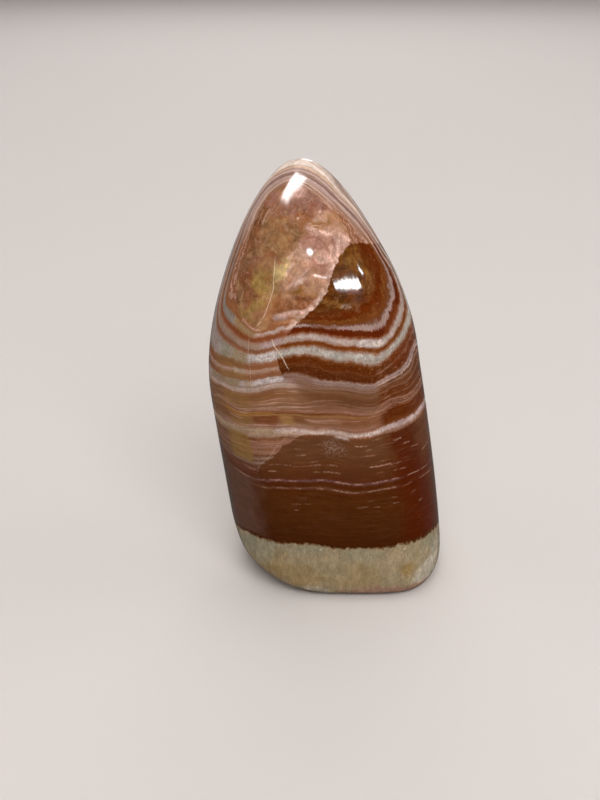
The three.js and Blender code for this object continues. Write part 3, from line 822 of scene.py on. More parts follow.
LIGHT_LOG = [
    (-4.6, (146, 98, 70)), (-4.2, (176, 128, 104)), (-3.9, (138, 88, 62)), (-3.5, (144, 94, 66)), (-3.15, (194, 150, 126)), (-2.85, (136, 84, 56)),
    (-2.4, (146, 96, 68)), (-2.05, (200, 158, 136)), (-1.75, (134, 82, 54)), (-1.2, (150, 98, 62)), (-0.7, (140, 85, 50)), (-0.4, (175, 140, 118)), (0.0, (198, 174, 163)), (0.45, (170, 130, 110)), (0.8, (140, 80, 48)),
    (1.4, (130, 70, 42)), (2.1, (145, 88, 58)), (2.6, (165, 130, 112)), (3.2, (178, 153, 143)), (3.9, (168, 140, 128)), (4.4, (130, 85, 58)),
    (4.9, (140, 88, 64)), (5.4, (150, 105, 80)), (5.8, (195, 175, 165)), (6.3, (206, 196, 192)), (7.4, (208, 196, 192)), (7.9, (184, 160, 146)),
    (8.3, (150, 105, 78)), (9.0, (138, 85, 55)), (9.8, (145, 92, 62)), (10.1, (175, 142, 122)), (10.6, (168, 132, 112)), (11.1, (148, 102, 76)),
    (11.8, (134, 84, 55)), (12.5, (140, 92, 64)), (12.9, (190, 172, 165)), (13.4, (203, 188, 183)), (14.0, (198, 180, 173)), (14.3, (149, 122, 110)),
    (14.6, (167, 143, 132)), (15.0, (182, 159, 145)), (15.6, (175, 146, 130)), (16.0, (140, 100, 74)), (16.8, (128, 86, 54)), (17.6, (132, 92, 59)),
    (18.3, (147, 107, 80)), (18.6, (132, 90, 61)), (19.0, (151, 113, 88)), (19.3, (130, 88, 61)), (19.7, (153, 117, 94)), (20.2, (130, 86, 59)),
    (20.6, (140, 96, 69)), (20.9, (107, 57, 27)), (21.2, (149, 110, 64)), (21.6, (126, 81, 51)), (22.4, (121, 78, 49)), (23.2, (132, 91, 61)),
    (23.9, (153, 115, 96)), (24.5, (147, 103, 86)), (24.85, (177, 145, 127)), (25.2, (198, 176, 162)), (25.9, (204, 180, 166)),
    (26.3, (177, 145, 125)), (27.2, (153, 122, 100)), (27.6, (116, 69, 41)), (28.0, (121, 74, 49)), (28.35, (153, 110, 90)), (28.7, (130, 84, 61)),
    (29.0, (153, 113, 94)), (29.35, (121, 74, 51)), (29.8, (156, 118, 102)), (30.1, (140, 99, 80)), (30.5, (116, 73, 49)), (31.0, (140, 96, 76)),
    (31.3, (156, 119, 100)), (31.7, (116, 72, 49)), (32.2, (102, 61, 41)), (32.8, (140, 113, 94)), (33.2, (121, 86, 67)), (33.6, (107, 72, 54)),
    (34.0, (140, 115, 103)), (34.4, (102, 65, 47)), (36.0, (100, 58, 38)), (38.4, (88, 46, 26)), (39.0, (112, 74, 62)), (39.6, (84, 40, 18)),
    (45.0, (80, 40, 18)), (57.4, (70, 32, 12)),
]

# Round the right shoulder the dark strata are thinner and more sharply lined.
RIGHT_LOG = [
    (7.6, (150, 120, 100)), (8.0, (112, 62, 30)), (8.9, (90, 38, 8)), (9.5, (108, 58, 30)), (9.8, (140, 98, 76)), (10.1, (98, 48, 16)),
    (11.0, (86, 36, 8)), (11.7, (104, 56, 28)), (12.1, (130, 92, 74)), (12.4, (180, 156, 150)), (12.65, (138, 108, 98)),
    (12.9, (150, 118, 106)), (13.15, (198, 172, 162)), (13.4, (186, 156, 144)), (13.65, (116, 72, 46)), (14.0, (104, 56, 28)),
    (14.3, (146, 110, 90)), (14.55, (128, 88, 66)), (14.8, (100, 52, 22)), (15.6, (106, 60, 30)), (16.1, (124, 80, 54)),
    (16.4, (98, 48, 16)), (17.6, (100, 48, 14)), (18.2, (120, 74, 46)), (18.5, (96, 44, 12)), (19.3, (106, 56, 26)), (19.6, (152, 112, 92)),
    (19.85, (114, 66, 40)), (20.2, (140, 98, 76)), (20.45, (108, 60, 32)), (20.8, (158, 120, 100)), (21.05, (112, 58, 28)),
    (21.3, (132, 84, 58)), (21.5, (98, 44, 10)), (23.2, (92, 38, 6)), (24.0, (104, 52, 18)), (24.5, (120, 72, 44)), (24.8, (188, 158, 148)),
    (25.1, (210, 188, 182)), (25.6, (192, 164, 156)), (26.0, (134, 92, 70)), (26.4, (104, 58, 30)),
]

# Round the tip the same strata are paler, pink and peach.
CROWN_LOG = [
    (-4.6, (158, 116, 92)), (-4.0, (150, 106, 84)), (-3.5, (158, 116, 94)), (-2.9, (140, 100, 80)), (-2.5, (164, 128, 110)), (-2.15, (206, 172, 156)),
    (-1.75, (176, 142, 128)), (-1.4, (196, 164, 150)), (-1.0, (166, 134, 120)), (-0.5, (160, 130, 118)), (0.1, (184, 156, 146)), (0.5, (172, 144, 134)),
    (0.85, (206, 178, 166)), (1.2, (176, 146, 136)), (1.6, (142, 112, 102)), (2.2, (126, 96, 86)), (2.8, (150, 120, 108)), (3.2, (138, 108, 98)),
    (3.6, (180, 150, 138)), (4.1, (204, 174, 162)), (4.5, (176, 146, 134)), (5.0, (156, 128, 116)), (5.4, (186, 156, 138)), (5.9, (214, 180, 154)),
    (6.25, (196, 168, 150)), (6.7, (232, 212, 198)), (7.3, (224, 204, 190)), (7.8, (194, 170, 156)), (8.3, (158, 136, 124)), (8.9, (148, 124, 112)),
]
FLANK_LOG = [
    (8.3, (158, 136, 124)), (9.0, (148, 124, 112)), (9.6, (158, 134, 120)), (10.2, (178, 156, 142)), (10.7, (154, 132, 118)), (11.4, (146, 124, 112)),
    (12.2, (162, 140, 126)), (12.8, (144, 120, 108)),
]

# Changes along a stratum: bearings, depths, colour, strength, and for some how
# softly they end, in degrees. First where the rock is bleached, then where it is dark;
# one of the dark ones is a painted reflection, not a change in the rock.
LIGHT_CHANGES = [
    (-80, -60, -0.6, 0.7, (132, 124, 114), 0.85), (-60, -40, -0.6, 0.7, (150, 116, 72), 0.8),
    (-110, -36, 2.3, 4.1, (146, 116, 92), 0.7), (-35, -25, 2.4, 4.0, (176, 150, 150), 0.6),
    (-90, -71, 5.6, 8.0, (146, 128, 118), 0.85, 7), (-71, -60, 5.6, 8.0, (138, 128, 106), 0.85, 7), (-60, -45, 5.6, 8.0, (148, 124, 86), 0.85, 7),
    (-80, -50, 12.7, 14.2, (140, 114, 80), 0.85), (-50, -40, 12.7, 14.2, (160, 130, 100), 0.7), (-40, -24, 12.8, 14.1, (212, 200, 198), 0.6),
    (-57, -48, 9.9, 10.8, (190, 170, 150), 0.7), (-75, -48, 8.3, 9.7, (140, 104, 62), 0.6), (-70, -46, 10.9, 12.5, (142, 108, 66), 0.6),
    (-66, -48, 26.4, 33.8, (140, 106, 54), 0.75), (-27, -17, 21.5, 24.1, (156, 116, 70), 0.75), (-41, -27, 21.5, 24.1, (122, 66, 36), 0.7),
    (-80, -30, 24.8, 26.3, (160, 132, 98), 0.8), (-28, 0, 24.9, 26.2, (210, 184, 172), 0.5), (-66, -30, 20.6, 21.3, (160, 110, 52), 0.8),
    (-70, -44, 16.1, 19.4, (144, 106, 62), 0.55), (-46, -24, 16.2, 18.1, (134, 84, 50), 0.4), (-62, -44, 21.6, 24.4, (146, 108, 64), 0.6),
    (-90, -66, 16.0, 24.6, (124, 88, 62), 0.5), (-90, -66, 26.5, 34.0, (112, 78, 56), 0.55), (-44, -28, 27.3, 32.0, (150, 102, 74), 0.35),
    (-6, 38, 21.4, 24.7, (132, 84, 58), 0.4), (-12, 12, 21.8, 22.6, (176, 134, 110), 0.4), (-14, 38, 15.8, 20.3, (126, 84, 62), 0.4),
]
DARK_CHANGES = [
    (0, 20, -0.5, 0.45, (110, 62, 34), 0.65), (33, 50, 2.3, 4.0, (206, 192, 184), 0.75),
    # The mauve-grey entry on the next line at bearings -84 to -48, depths 34 to 57, is a painted reflection: the pale
    # surroundings mirrored on the far left of the dark rock.
    (5, 14, 25.2, 27.3, (216, 196, 188), 0.75), (40, 70, 26.6, 57.0, (78, 24, 0), 0.85, 16), (-84, -48, 34.0, 57.0, (96, 66, 52), 0.8, 18), (70, 100, 8.3, 9.8, (112, 60, 30), 0.6), (66, 100, 26.6, 57.0, (92, 44, 20), 0.25, 16),
    (-22, -4, 12.1, 15.4, (118, 80, 60), 0.5), (52, 76, 8.2, 11.9, (110, 46, 12), 0.5), (54, 74, 0.5, 2.0, (120, 62, 30), 0.5),
]


def changes(bearing, depth, p, rows, seed):
    """A colour and how strongly it covers, for each point."""
    colour = np.tile(linear((130, 90, 60)), (len(p), 1))
    cover = np.zeros(len(p))
    rough = 0.35 * fractal(p, 2.4, seed, 2)
    for b0, b1, d0, d1, rgb, strength, *soft in rows:
        middle, half = (b0 + b1) / 2, (b1 - b0) / 2
        side = (half - np.abs((bearing - middle + 180) % 360 - 180)) / (soft[0] if soft else 3.5) + 0.5 + (0.8 if soft else 3) * rough
        deep = (np.minimum(depth - d0, d1 - depth)) / 0.5 + 0.7 + rough
        m = ease(side) * ease(deep) * strength
        before = cover * (1 - m)
        cover = before + m
        mixed = (colour * before[:, None] + linear(rgb) * m[:, None]) / np.maximum(cover, 1e-6)[:, None]
        colour = np.where((m > 0.01)[:, None], mixed, colour)
    return colour, cover


light_change, light_cover = changes(bearing, depth, points, LIGHT_CHANGES, 51)
dark_change, dark_cover = changes(bearing, depth, points, DARK_CHANGES, 67)
sideways = ease((np.abs(bearing) - 50) / 22) * ease((150 - np.abs(bearing)) / 25)
crown = ease((points[:, 2] - 97 - 1.5 * np.cos(np.radians(bearing)) + 8 * sideways) / (4.5 + 4 * sideways))
# Fine strata go on inside the innermost contour on the right, the far left and at the top.
inner = np.maximum(ease((bearing - 30) / 22), np.maximum(ease((-58 - bearing) / 14), crown))
# The right shoulder, and how finely the rock is laminated.
shoulder = ease((bearing - 36 + 1.5 * noise(points, 2.0, 5)) / 5) * ease((112 - bearing) / 14)
laminar = ease((depth - 12.9) / 1.6) * (1 - 0.65 * ease((depth - 25.0) / 0.8)) * (1 - ease((depth - 34) / 5))
laminar *= 0.8 + 0.2 * ease(0.5 + bleached / 3)
flank = ease((np.abs(bearing) - 60) / 14) * ease((points[:, 2] - 74) / 8)
laminar = np.maximum(laminar, 1.5 * np.maximum(crown, flank))
number_layer("shoulder", shoulder)
number_layer("laminar", laminar)
colour_layer("light_change", light_change)
number_layer("light_cover", light_cover)
colour_layer("dark_change", dark_change)
number_layer("dark_cover", dark_cover)
number_layer("crown", crown)
number_layer("inner", inner)

# ---- the material ---------------------------------------------------------------------------
material = bpy.data.materials.new("polished_aragonite")
material.use_nodes = True
tree = material.node_tree
tree.nodes.clear()


def node(kind, **settings):
    made = tree.nodes.new(kind)
    for name, value in settings.items():
        setattr(made, name, value)
    return made


def feed(socket, value):
    if isinstance(value, bpy.types.NodeSocket):
        tree.links.new(value, socket)
    elif value is not None:
        socket.default_value = value


def maths(operation, a, b=None, clamp=False):
    n = node("ShaderNodeMath", operation=operation, use_clamp=clamp)
    feed(n.inputs[0], a)
    feed(n.inputs[1], b)
    return n.outputs[0]


def soft_step(value, low, high):
    """0 at low, 1 at high, smooth between; low may be the larger one."""
    n = node("ShaderNodeMapRange", interpolation_type="SMOOTHSTEP")
    feed(n.inputs["Value"], value)
    if low < high:
        n.inputs["From Min"].default_value, n.inputs["From Max"].default_value = low, high
        n.inputs["To Min"].default_value, n.inputs["To Max"].default_value = 0, 1
    else:
        n.inputs["From Min"].default_value, n.inputs["From Max"].default_value = high, low
        n.inputs["To Min"].default_value, n.inputs["To Max"].default_value = 1, 0
    return n.outputs["Result"]


def ranged(value, low, high, to_low, to_high):
    n = node("ShaderNodeMapRange", clamp=True)
    feed(n.inputs["Value"], value)
    n.inputs["From Min"].default_value, n.inputs["From Max"].default_value = low, high
    n.inputs["To Min"].default_value, n.inputs["To Max"].default_value = to_low, to_high
    return n.outputs["Result"]


def blend(share, a, b, kind="MIX"):
    n = node("ShaderNodeMix", data_type="RGBA", blend_type=kind)
    feed(n.inputs[0], share)
    for socket, value in ((n.inputs[6], a), (n.inputs[7], b)):
        feed(socket, tuple(linear(value)) + (1.0,) if isinstance(value, tuple) else value)
    return n.outputs[2]


def layer(name, colour=False):
    n = node("ShaderNodeAttribute", attribute_type="GEOMETRY", attribute_name=name)
    return n.outputs["Color"] if colour else n.outputs["Fac"]


def shade(colour, value):
    """The colour made brighter or darker by a factor."""
    n = node("ShaderNodeHueSaturation")
    feed(n.inputs["Value"], value)
    feed(n.inputs["Color"], colour)
    return n.outputs["Color"]


def lumps(vector, scale, detail=2.0, rough=0.5, twist=0.0):
    n = node("ShaderNodeTexNoise")
    feed(n.inputs["Vector"], vector)
    n.inputs["Scale"].default_value = scale
    n.inputs["Detail"].default_value = detail
    n.inputs["Roughness"].default_value = rough
    n.inputs["Distortion"].default_value = twist
    return n.outputs["Fac"]


def column(depth_socket, log):
    """The colour at a depth, from a log that is too long for one ramp."""
    colour = None
    start = 0
    while start < len(log) - 1:
        part = log[start : start + 31]
        low, high = part[0][0], part[-1][0]
        n = node("ShaderNodeValToRGB")
        feed(n.inputs[0], ranged(depth_socket, low, high, 0.0, 1.0))
        stops = n.color_ramp.elements
        while len(stops) < len(part):
            stops.new(0.5)
        for stop, (at, rgb) in zip(stops, part):
            stop.position = (at - low) / (high - low)
        for stop, (at, rgb) in zip(stops, part):
            stop.color = tuple(linear(rgb)) + (1.0,)
        if colour is None:
            colour = n.outputs["Color"]
        else:
            colour = blend(maths("GREATER_THAN", depth_socket, low), colour, n.outputs["Color"])
        start += 30
    return colour


place = node("ShaderNodeTexCoord")
scaled = node("ShaderNodeVectorMath", operation="SCALE")
feed(scaled.inputs[0], place.outputs["Object"])
scaled.inputs["Scale"].default_value = 1000.0
mm = scaled.outputs["Vector"]
split = node("ShaderNodeSeparateXYZ")
feed(split.inputs[0], mm)
X, Y, Z = split.outputs


def stretched(sx, sy, sz, x=None, y=None, z=None):
    n = node("ShaderNodeCombineXYZ")
    for i, (scale, source) in enumerate(((sx, x or X), (sy, y or Y), (sz, z or Z))):
        feed(n.inputs[i], maths("MULTIPLY", source, scale))
    return n.outputs[0]


# the depth, with the small waves that the strata have
feather = maths("MULTIPLY", maths("SUBTRACT", lumps(stretched(1.5, 1.5, 0.22, z=layer("depth")), 1.0, 3.0, 0.6), 0.5), 0.85)
wave = maths("MULTIPLY", maths("SUBTRACT", lumps(mm, 0.55, 2.0, 0.5), 0.5), 1.0)
ripple = maths("MULTIPLY", maths("SUBTRACT", lumps(mm, 2.1, 2.0, 0.55), 0.5), 0.55)
raw_depth = layer("depth")
restless = ranged(raw_depth, -5.0, -0.5, 3.6, 1.0)
settled = maths("MULTIPLY", soft_step(raw_depth, 13.0, 15.0), soft_step(raw_depth, 24.7, 23.9))
tidy = maths("SUBTRACT", 1.0, maths("MULTIPLY", settled, 0.75))
unrest = maths("ADD", feather, maths("MULTIPLY", maths("ADD", wave, ripple), restless))
level = maths("ADD", raw_depth, maths("MULTIPLY", unrest, tidy))

light = column(level, LIGHT_LOG)
dark = column(level, DARK_LOG)
on_shoulder = maths("MULTIPLY", layer("shoulder"), maths("MULTIPLY", soft_step(level, 7.7, 8.3), soft_step(level, 26.3, 25.9)))
dark = blend(on_shoulder, dark, column(level, RIGHT_LOG))
light = blend(layer("light_cover"), light, layer("light_change", True))
dark = blend(layer("dark_cover"), dark, layer("dark_change", True))
light = blend(layer("crown"), light, column(level, CROWN_LOG + FLANK_LOG[1:]))

# streaks along the strata
streak = lumps(stretched(0.16, 0.16, 2.4, z=level), 1.0, 3.0, 0.6)
light = shade(light, ranged(streak, 0.3, 0.7, 0.8, 1.06))
dark = shade(dark, ranged(streak, 0.3, 0.7, 0.84, 1.11))

# fine laminae, pale and dark
lamina = lumps(stretched(0.034, 0.034, 1.0, z=maths("ADD", raw_depth, maths("MULTIPLY", wave, 0.3))), 2.6, 2.0, 0.7)
for low, high, light_rgb, dark_rgb in ((0.56, 0.66, (206, 170, 150), (150, 112, 90)), (0.44, 0.34, (112, 66, 44), (84, 36, 10))):
    lines = maths("MULTIPLY", soft_step(lamina, low, high), maths("MULTIPLY", layer("laminar"), 0.42))
    light = blend(lines, light, light_rgb)
    dark = blend(lines, dark, dark_rgb)

# pale crystals scattered under the white bands
broken = maths("MULTIPLY", soft_step(lumps(mm, 0.7, 3.0, 0.6), 0.56, 0.42), maths("MULTIPLY", soft_step(level, -5.4, -4.4), soft_step(level, -3.1, -3.6)))
dark = blend(broken, dark, (104, 54, 18))
crystals = maths("MULTIPLY", soft_step(lumps(stretched(1.5, 1.5, 2.6), 1.0, 3.0, 0.7), 0.54, 0.7), maths("MULTIPLY", soft_step(raw_depth, 7.4, 8.6), soft_step(raw_depth, 16.5, 11.0)))
dark = blend(maths("MULTIPLY", crystals, 0.5), dark, (146, 98, 66))
# round the right shoulder the strata are flecked, light and dark
flecks = lumps(stretched(0.42, 0.42, 2.4, z=level), 1.0, 3.5, 0.66)
flecked = maths("MULTIPLY", layer("shoulder"), maths("MULTIPLY", soft_step(level, 0.5, 3.0), soft_step(level, 24.5, 21.0)))
dark = blend(maths("MULTIPLY", soft_step(flecks, 0.55, 0.68), maths("MULTIPLY", flecked, 0.42)), dark, (168, 130, 106))
dark = blend(maths("MULTIPLY", soft_step(flecks, 0.46, 0.34), maths("MULTIPLY", flecked, 0.6)), dark, (64, 26, 6))

# the cores, above the innermost contour
cloud = lumps(mm, 0.5, 2.6, 0.55)
speck = lumps(mm, 1.5, 2.0, 0.55)
core_light = layer("light_core", True)
blotch = lumps(mm, 0.33, 1.6, 0.5, 0.8)
core_light = shade(core_light, ranged(blotch, 0.34, 0.66, 1.2, 0.74))
core_light = shade(core_light, ranged(cloud, 0.34, 0.66, 1.12, 0.78))
core_light = shade(core_light, ranged(lumps(mm, 1.15, 1.0, 0.5), 0.34, 0.66, 0.92, 1.08))
rusty = lumps(mm, 0.3, 2.0, 0.55, 1.2)
core_light = blend(ranged(rusty, 0.54, 0.68, 0.0, 0.6), core_light, (140, 80, 44))
core_light = blend(ranged(rusty, 0.46, 0.34, 0.0, 0.45), core_light, (178, 138, 98))
core_light = blend(ranged(speck, 0.5, 0.74, 0.0, 0.18), core_light, blend(0.5, core_light, (220, 178, 150)))
core_light = blend(ranged(speck, 0.5, 0.28, 0.0, 0.18), core_light, blend(0.5, core_light, (112, 62, 38)))
for name, rgb, share in (("dark_fold", (122, 70, 48), 0.85), ("pale_fold", (232, 190, 172), 0.95)):
    off = maths("ADD", maths("ABSOLUTE", layer(name + "_off")), maths("MULTIPLY", maths("SUBTRACT", lumps(mm, 1.5, 3.0, 0.6), 0.5), 2.0))
    fold_mask = maths("MULTIPLY", soft_step(off, 1.7, 0.2), layer(name + "_shown"))
    core_light = blend(maths("MULTIPLY", fold_mask, share), core_light, rgb)
in_core_light = soft_step(maths("ADD", level, maths("MULTIPLY", layer("inner"), 3.2)), -0.75, -1.4)
light = blend(in_core_light, light, core_light)

core_dark = layer("dark_core", True)
core_dark = blend(1.0, shade(core_dark, ranged(cloud, 0.36, 0.64, 1.62, 0.62)), (240, 255, 250), "MULTIPLY")
core_dark = blend(ranged(speck, 0.52, 0.74, 0.0, 0.6), core_dark, blend(0.5, core_dark, (150, 106, 66)))
in_core_dark = soft_step(level, -3.2, -5.0)
mottle = maths("MULTIPLY", soft_step(raw_depth, -0.5, -1.6), soft_step(lumps(mm, 0.9, 3.0, 0.62), 0.45, 0.6))
dark = blend(maths("MULTIPLY", mottle, 0.75), dark, (92, 40, 10))
dark = blend(in_core_dark, dark, core_dark)
banded = maths("ADD", raw_depth, maths("MULTIPLY", wave, 2.2))
marbling = lumps(stretched(0.42, 0.42, 1.15, z=banded), 1.0, 4.0, 0.7)
around_core = maths("MULTIPLY", soft_step(raw_depth, -0.9, -1.9), soft_step(raw_depth, -9.0, -5.5))
dark = blend(maths("MULTIPLY", soft_step(marbling, 0.56, 0.64), maths("MULTIPLY", around_core, 0.42)), dark, (142, 98, 66))
dark = blend(maths("MULTIPLY", soft_step(marbling, 0.5, 0.4), maths("MULTIPLY", around_core, 0.75)), dark, (84, 32, 4))

# pale veins that wander through the bleached core
fold = maths("ABSOLUTE", maths("SUBTRACT", lumps(mm, 0.42, 3.0, 0.6, 0.6), 0.5))
crease = maths("ABSOLUTE", maths("SUBTRACT", lumps(mm, 1.15, 2.0, 0.6, 0.4), 0.52))
vein = maths("MAXIMUM", soft_step(fold, 0.028, 0.004), maths("MULTIPLY", soft_step(crease, 0.035, 0.006), 0.08))
vein = maths("MULTIPLY", vein, ranged(lumps(mm, 0.2, 2.0), 0.42, 0.62, 0.0, 0.34))
light = blend(maths("MULTIPLY", vein, in_core_light), light, (206, 160, 138))

# bleached and dark rock meet on a crisp, slightly ragged edge
edge = maths("ADD", layer("bleached"), maths("MULTIPLY", maths("SUBTRACT", lumps(mm, 1.1, 3.0, 0.6), 0.5), 1.3))
rim = maths("MULTIPLY", soft_step(edge, 1.7, 0.4), maths("MULTIPLY", layer("rim"), ranged(lumps(mm, 0.8, 2.0), 0.38, 0.6, 0.15, 0.95)))
light = blend(rim, light, (236, 200, 182))
crisp, gradual = soft_step(edge, -0.16, 0.16), soft_step(edge, -3.4, 1.2)
crisp = maths("MULTIPLY", crisp, maths("SUBTRACT", 1.0, settled))
rock = blend(maths("ADD", crisp, maths("MULTIPLY", gradual, settled)), dark, light)

# thin marks
dash_wander = maths("MULTIPLY", maths("SUBTRACT", lumps(mm, 1.6, 2.0), 0.5), 0.3)
dash_break = ranged(lumps(mm, 2.2, 2.0), 0.38, 0.6, 0.15, 1.0)
for n in range(len(dash_layers)):
    line = maths("ABSOLUTE", maths("ADD", layer("dash_off_%d" % n), dash_wander))
    dash = maths("MULTIPLY", soft_step(line, 0.3, 0.06), layer("dash_shown_%d" % n))
    rock = blend(maths("MULTIPLY", maths("MULTIPLY", dash, dash_break), 0.8), rock, (186, 146, 122))

spots = ranged(lumps(mm, 2.0, 3.0, 0.75), 0.45, 0.64, 0.0, 1.0)
spots = maths("MULTIPLY", spots, maths("MULTIPLY", layer("cluster"), layer("cluster")))
rock = blend(maths("MULTIPLY", spots, 0.6), rock, (156, 128, 116))

# the pale base layer: upright fibres, grey and ochre clouds
fibre = lumps(stretched(1.5, 1.5, 0.42), 1.0, 4.0, 0.62)
grit = lumps(mm, 2.6, 3.0, 0.6)
base = layer("base_rock", True)
base = blend(ranged(fibre, 0.3, 0.7, 0.25, 0.75), blend(1.0, base, (236, 230, 220), "MULTIPLY"), blend(0.12, base, (214, 206, 186)))
base = shade(base, ranged(lumps(stretched(0.5, 0.5, 0.3), 1.0, 3.0, 0.6), 0.34, 0.66, 0.82, 1.16))
base = blend(maths("MULTIPLY", soft_step(lumps(mm, 1.6, 2.0, 0.6), 0.64, 0.72), 0.55), base, (112, 96, 70))
base_vein = soft_step(maths("ABSOLUTE", maths("SUBTRACT", lumps(mm, 0.45, 1.0, 0.5, 0.2), 0.5)), 0.03, 0.004)
base = blend(maths("MULTIPLY", base_vein, maths("MULTIPLY", layer("veined"), 0.16)), base, (220, 214, 202))
base = blend(ranged(grit, 0.36, 0.7, 0.0, 0.5), base, blend(1.0, base, (218, 210, 196), "MULTIPLY"))
torn = maths("ADD", raw_depth, maths("MULTIPLY", maths("SUBTRACT", lumps(mm, 0.75, 4.0, 0.66), 0.5), 2.4))
rock = blend(maths("MULTIPLY", soft_step(torn, 57.55, 57.95), soft_step(torn, 58.25, 57.9)), rock, (120, 88, 58))
rock = blend(soft_step(torn, 57.95, 58.2), rock, base)

# sugary grain, strongest in the white strata
bright = node("ShaderNodeRGBToBW")
feed(bright.inputs[0], rock)
pale = maths("MULTIPLY", ranged(bright.outputs[0], 0.16, 0.5, 0.15, 1.0), ranged(layer("crown"), 0.0, 1.0, 1.0, 0.3))
sugar = lumps(stretched(2.3, 2.3, 0.9, z=level), 1.0, 3.0, 0.65)
rock = blend(pale, rock, shade(rock, ranged(sugar, 0.3, 0.7, 0.56, 1.32)))
rock = blend(pale, rock, shade(rock, ranged(lumps(mm, 0.24, 3.0, 0.6), 0.34, 0.66, 0.7, 1.12)))
threads = lumps(stretched(0.2, 0.2, 2.0, z=level), 1.0, 3.0, 0.66)
threaded = maths("MULTIPLY", maths("MULTIPLY", soft_step(threads, 0.48, 0.37), pale), soft_step(raw_depth, 56.5, 55.5))
rock = blend(maths("MULTIPLY", threaded, 0.5), rock, (128, 88, 64))
rock = shade(rock, ranged(cloud, 0.3, 0.7, 0.94, 1.06))

# fine cracks in the rock, and a few short pale marks that are painted glints
crack_and_glint_line = maths("ADD", maths("ABSOLUTE", layer("crack_and_glint_off")), maths("MULTIPLY", maths("SUBTRACT", lumps(mm, 3.0, 1.0), 0.5), 0.8))
crack_and_glint = maths("MULTIPLY", maths("MULTIPLY", soft_step(crack_and_glint_line, 1.3, 0.5), layer("crack_and_glint_shown")), ranged(lumps(mm, 1.3, 2.0), 0.35, 0.6, 0.35, 1.0))
rock = blend(crack_and_glint, rock, (226, 206, 180))

surface = node("ShaderNodeBsdfPrincipled")
feed(surface.inputs["Base Color"], rock)
gloss = maths("ADD", ranged(lumps(mm, 0.9, 3.0), 0.35, 0.7, 0.045, 0.07), maths("ADD", maths("MULTIPLY", crack_and_glint, 0.2), maths("MULTIPLY", layer("crown"), 0.09)))
feed(surface.inputs["Roughness"], gloss)
surface.inputs["IOR"].default_value = 1.4
surface.inputs["Specular IOR Level"].default_value = 0.2
relief = node("ShaderNodeBump")
relief.inputs["Strength"].default_value = 0.09
relief.inputs["Distance"].default_value = 0.00006
feed(relief.inputs["Height"], maths("ADD", lumps(mm, 0.35, 2.0), maths("MULTIPLY", lumps(mm, 2.2, 2.0), 0.12)))
feed(surface.inputs["Normal"], relief.outputs["Normal"])
output = node("ShaderNodeOutputMaterial")
feed(output.inputs["Surface"], surface.outputs[0])
mesh.materials.append(material)

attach(stone, "root")
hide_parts("aragonite_stone")

# ---- floor: plain and pale --------------------------------------------------------------------------------------
# It curves up into a wall all round, far from the stone.
rims = [(0.0, 0.0), (2.5, 0.0)]
rims += [(2.5 + 1.5 * math.sin(t), 1.5 - 1.5 * math.cos(t)) for t in np.radians([10, 20, 30, 40, 50, 60, 70, 80, 90])]
rims += [(4.0, 3.2)]
floor_points, floor_faces = [(0.0, 0.0, 0.0)], []
for out, up in rims[1:]:
    floor_points += [(out * math.cos(t), out * math.sin(t), up) for t in np.radians(np.arange(0, 360, 5))]
for k in range(72):
    floor_faces.append((0, 1 + k, 1 + (k + 1) % 72))
    for ring in range(len(rims) - 2):
        low, top = 1 + 72 * ring, 1 + 72 * (ring + 1)
        floor_faces.append((low + k, top + k, top + (k + 1) % 72, low + (k + 1) % 72))
floor_mesh = bpy.data.meshes.new("floor")
floor_mesh.from_pydata(floor_points, [], floor_faces)
floor_mesh.shade_smooth()
floor = bpy.data.objects.new("floor", floor_mesh)
bpy.context.scene.collection.objects.link(floor)
floor_material = bpy.data.materials.new("pale_floor")
floor_material.use_nodes = True
matt = floor_material.node_tree.nodes["Principled BSDF"]
matt.inputs["Base Color"].default_value = (0.56, 0.515, 0.49, 1)
matt.inputs["Roughness"].default_value = 0.7
matt.inputs["Specular IOR Level"].default_value = 0.0
floor_mesh.materials.append(floor_material)
floor.visible_glossy = False


# ---- light ----------------------------------------------------------------------------------------
def softbox(name, at, towards, width, height, power, along_axis=None, colour=(1, 1, 1)):
    data = bpy.data.lights.new(name, "AREA")
    data.shape = "RECTANGLE"
    data.size, data.size_y = width, height
    data.energy = power
    data.color = colour
    lamp = bpy.data.objects.new(name, data)
    bpy.context.scene.collection.objects.link(lamp)
    lamp.location = at
    back = np.array(at, float) - np.array(towards, float)
    back /= np.linalg.norm(back)
    wide = np.array(along_axis if along_axis is not None else (0, 0, 1), float)
    if along_axis is None:
        wide = np.cross(wide, back)
    wide = wide - back * (wide @ back)
    wide /= np.linalg.norm(wide)
    up = np.cross(back, wide)
    lamp.rotation_euler = mathutils.Matrix((wide, up, back)).transposed().to_euler()
    return lamp


MIDDLE = (0.0, 0.0, 0.06)
softbox("overhead", (-0.02, 0.26, 1.1), MIDDLE, 0.6, 0.6, 4.0)
for name, at, power in (
    ("fill_front", (0.12, -0.72, 0.84), 9.7), ("fill_left", (-1.0, 0.1, 0.5), 2.0),
    ("fill_right", (1.0, 0.1, 0.6), 3.0), ("fill_back", (0.0, 1.0, 0.6), 4.0),
):
    softbox(name, at, MIDDLE, 0.9, 0.7, power).visible_glossy = False

sky = bpy.data.lights.new("sky", "SUN")
sky.energy = 0.6
sky.angle = math.radians(120)
sky_lamp = bpy.data.objects.new("sky", sky)
sky_lamp.rotation_euler = (math.radians(-6), math.radians(-4), 0)
sky_lamp.visible_glossy = False
bpy.context.scene.collection.objects.link(sky_lamp)


def window(name, at, direction, width, height, radiance, along_axis=None):
    """A bright pane that only shows as a reflection in the polish."""
    at, direction = np.array(at) * MM, np.array(direction, float)
    direction /= np.linalg.norm(direction)
    pane = softbox(name, tuple(at + 0.8 * direction), tuple(at), width, height, radiance * math.pi * width * height, along_axis)
    pane.visible_diffuse = False


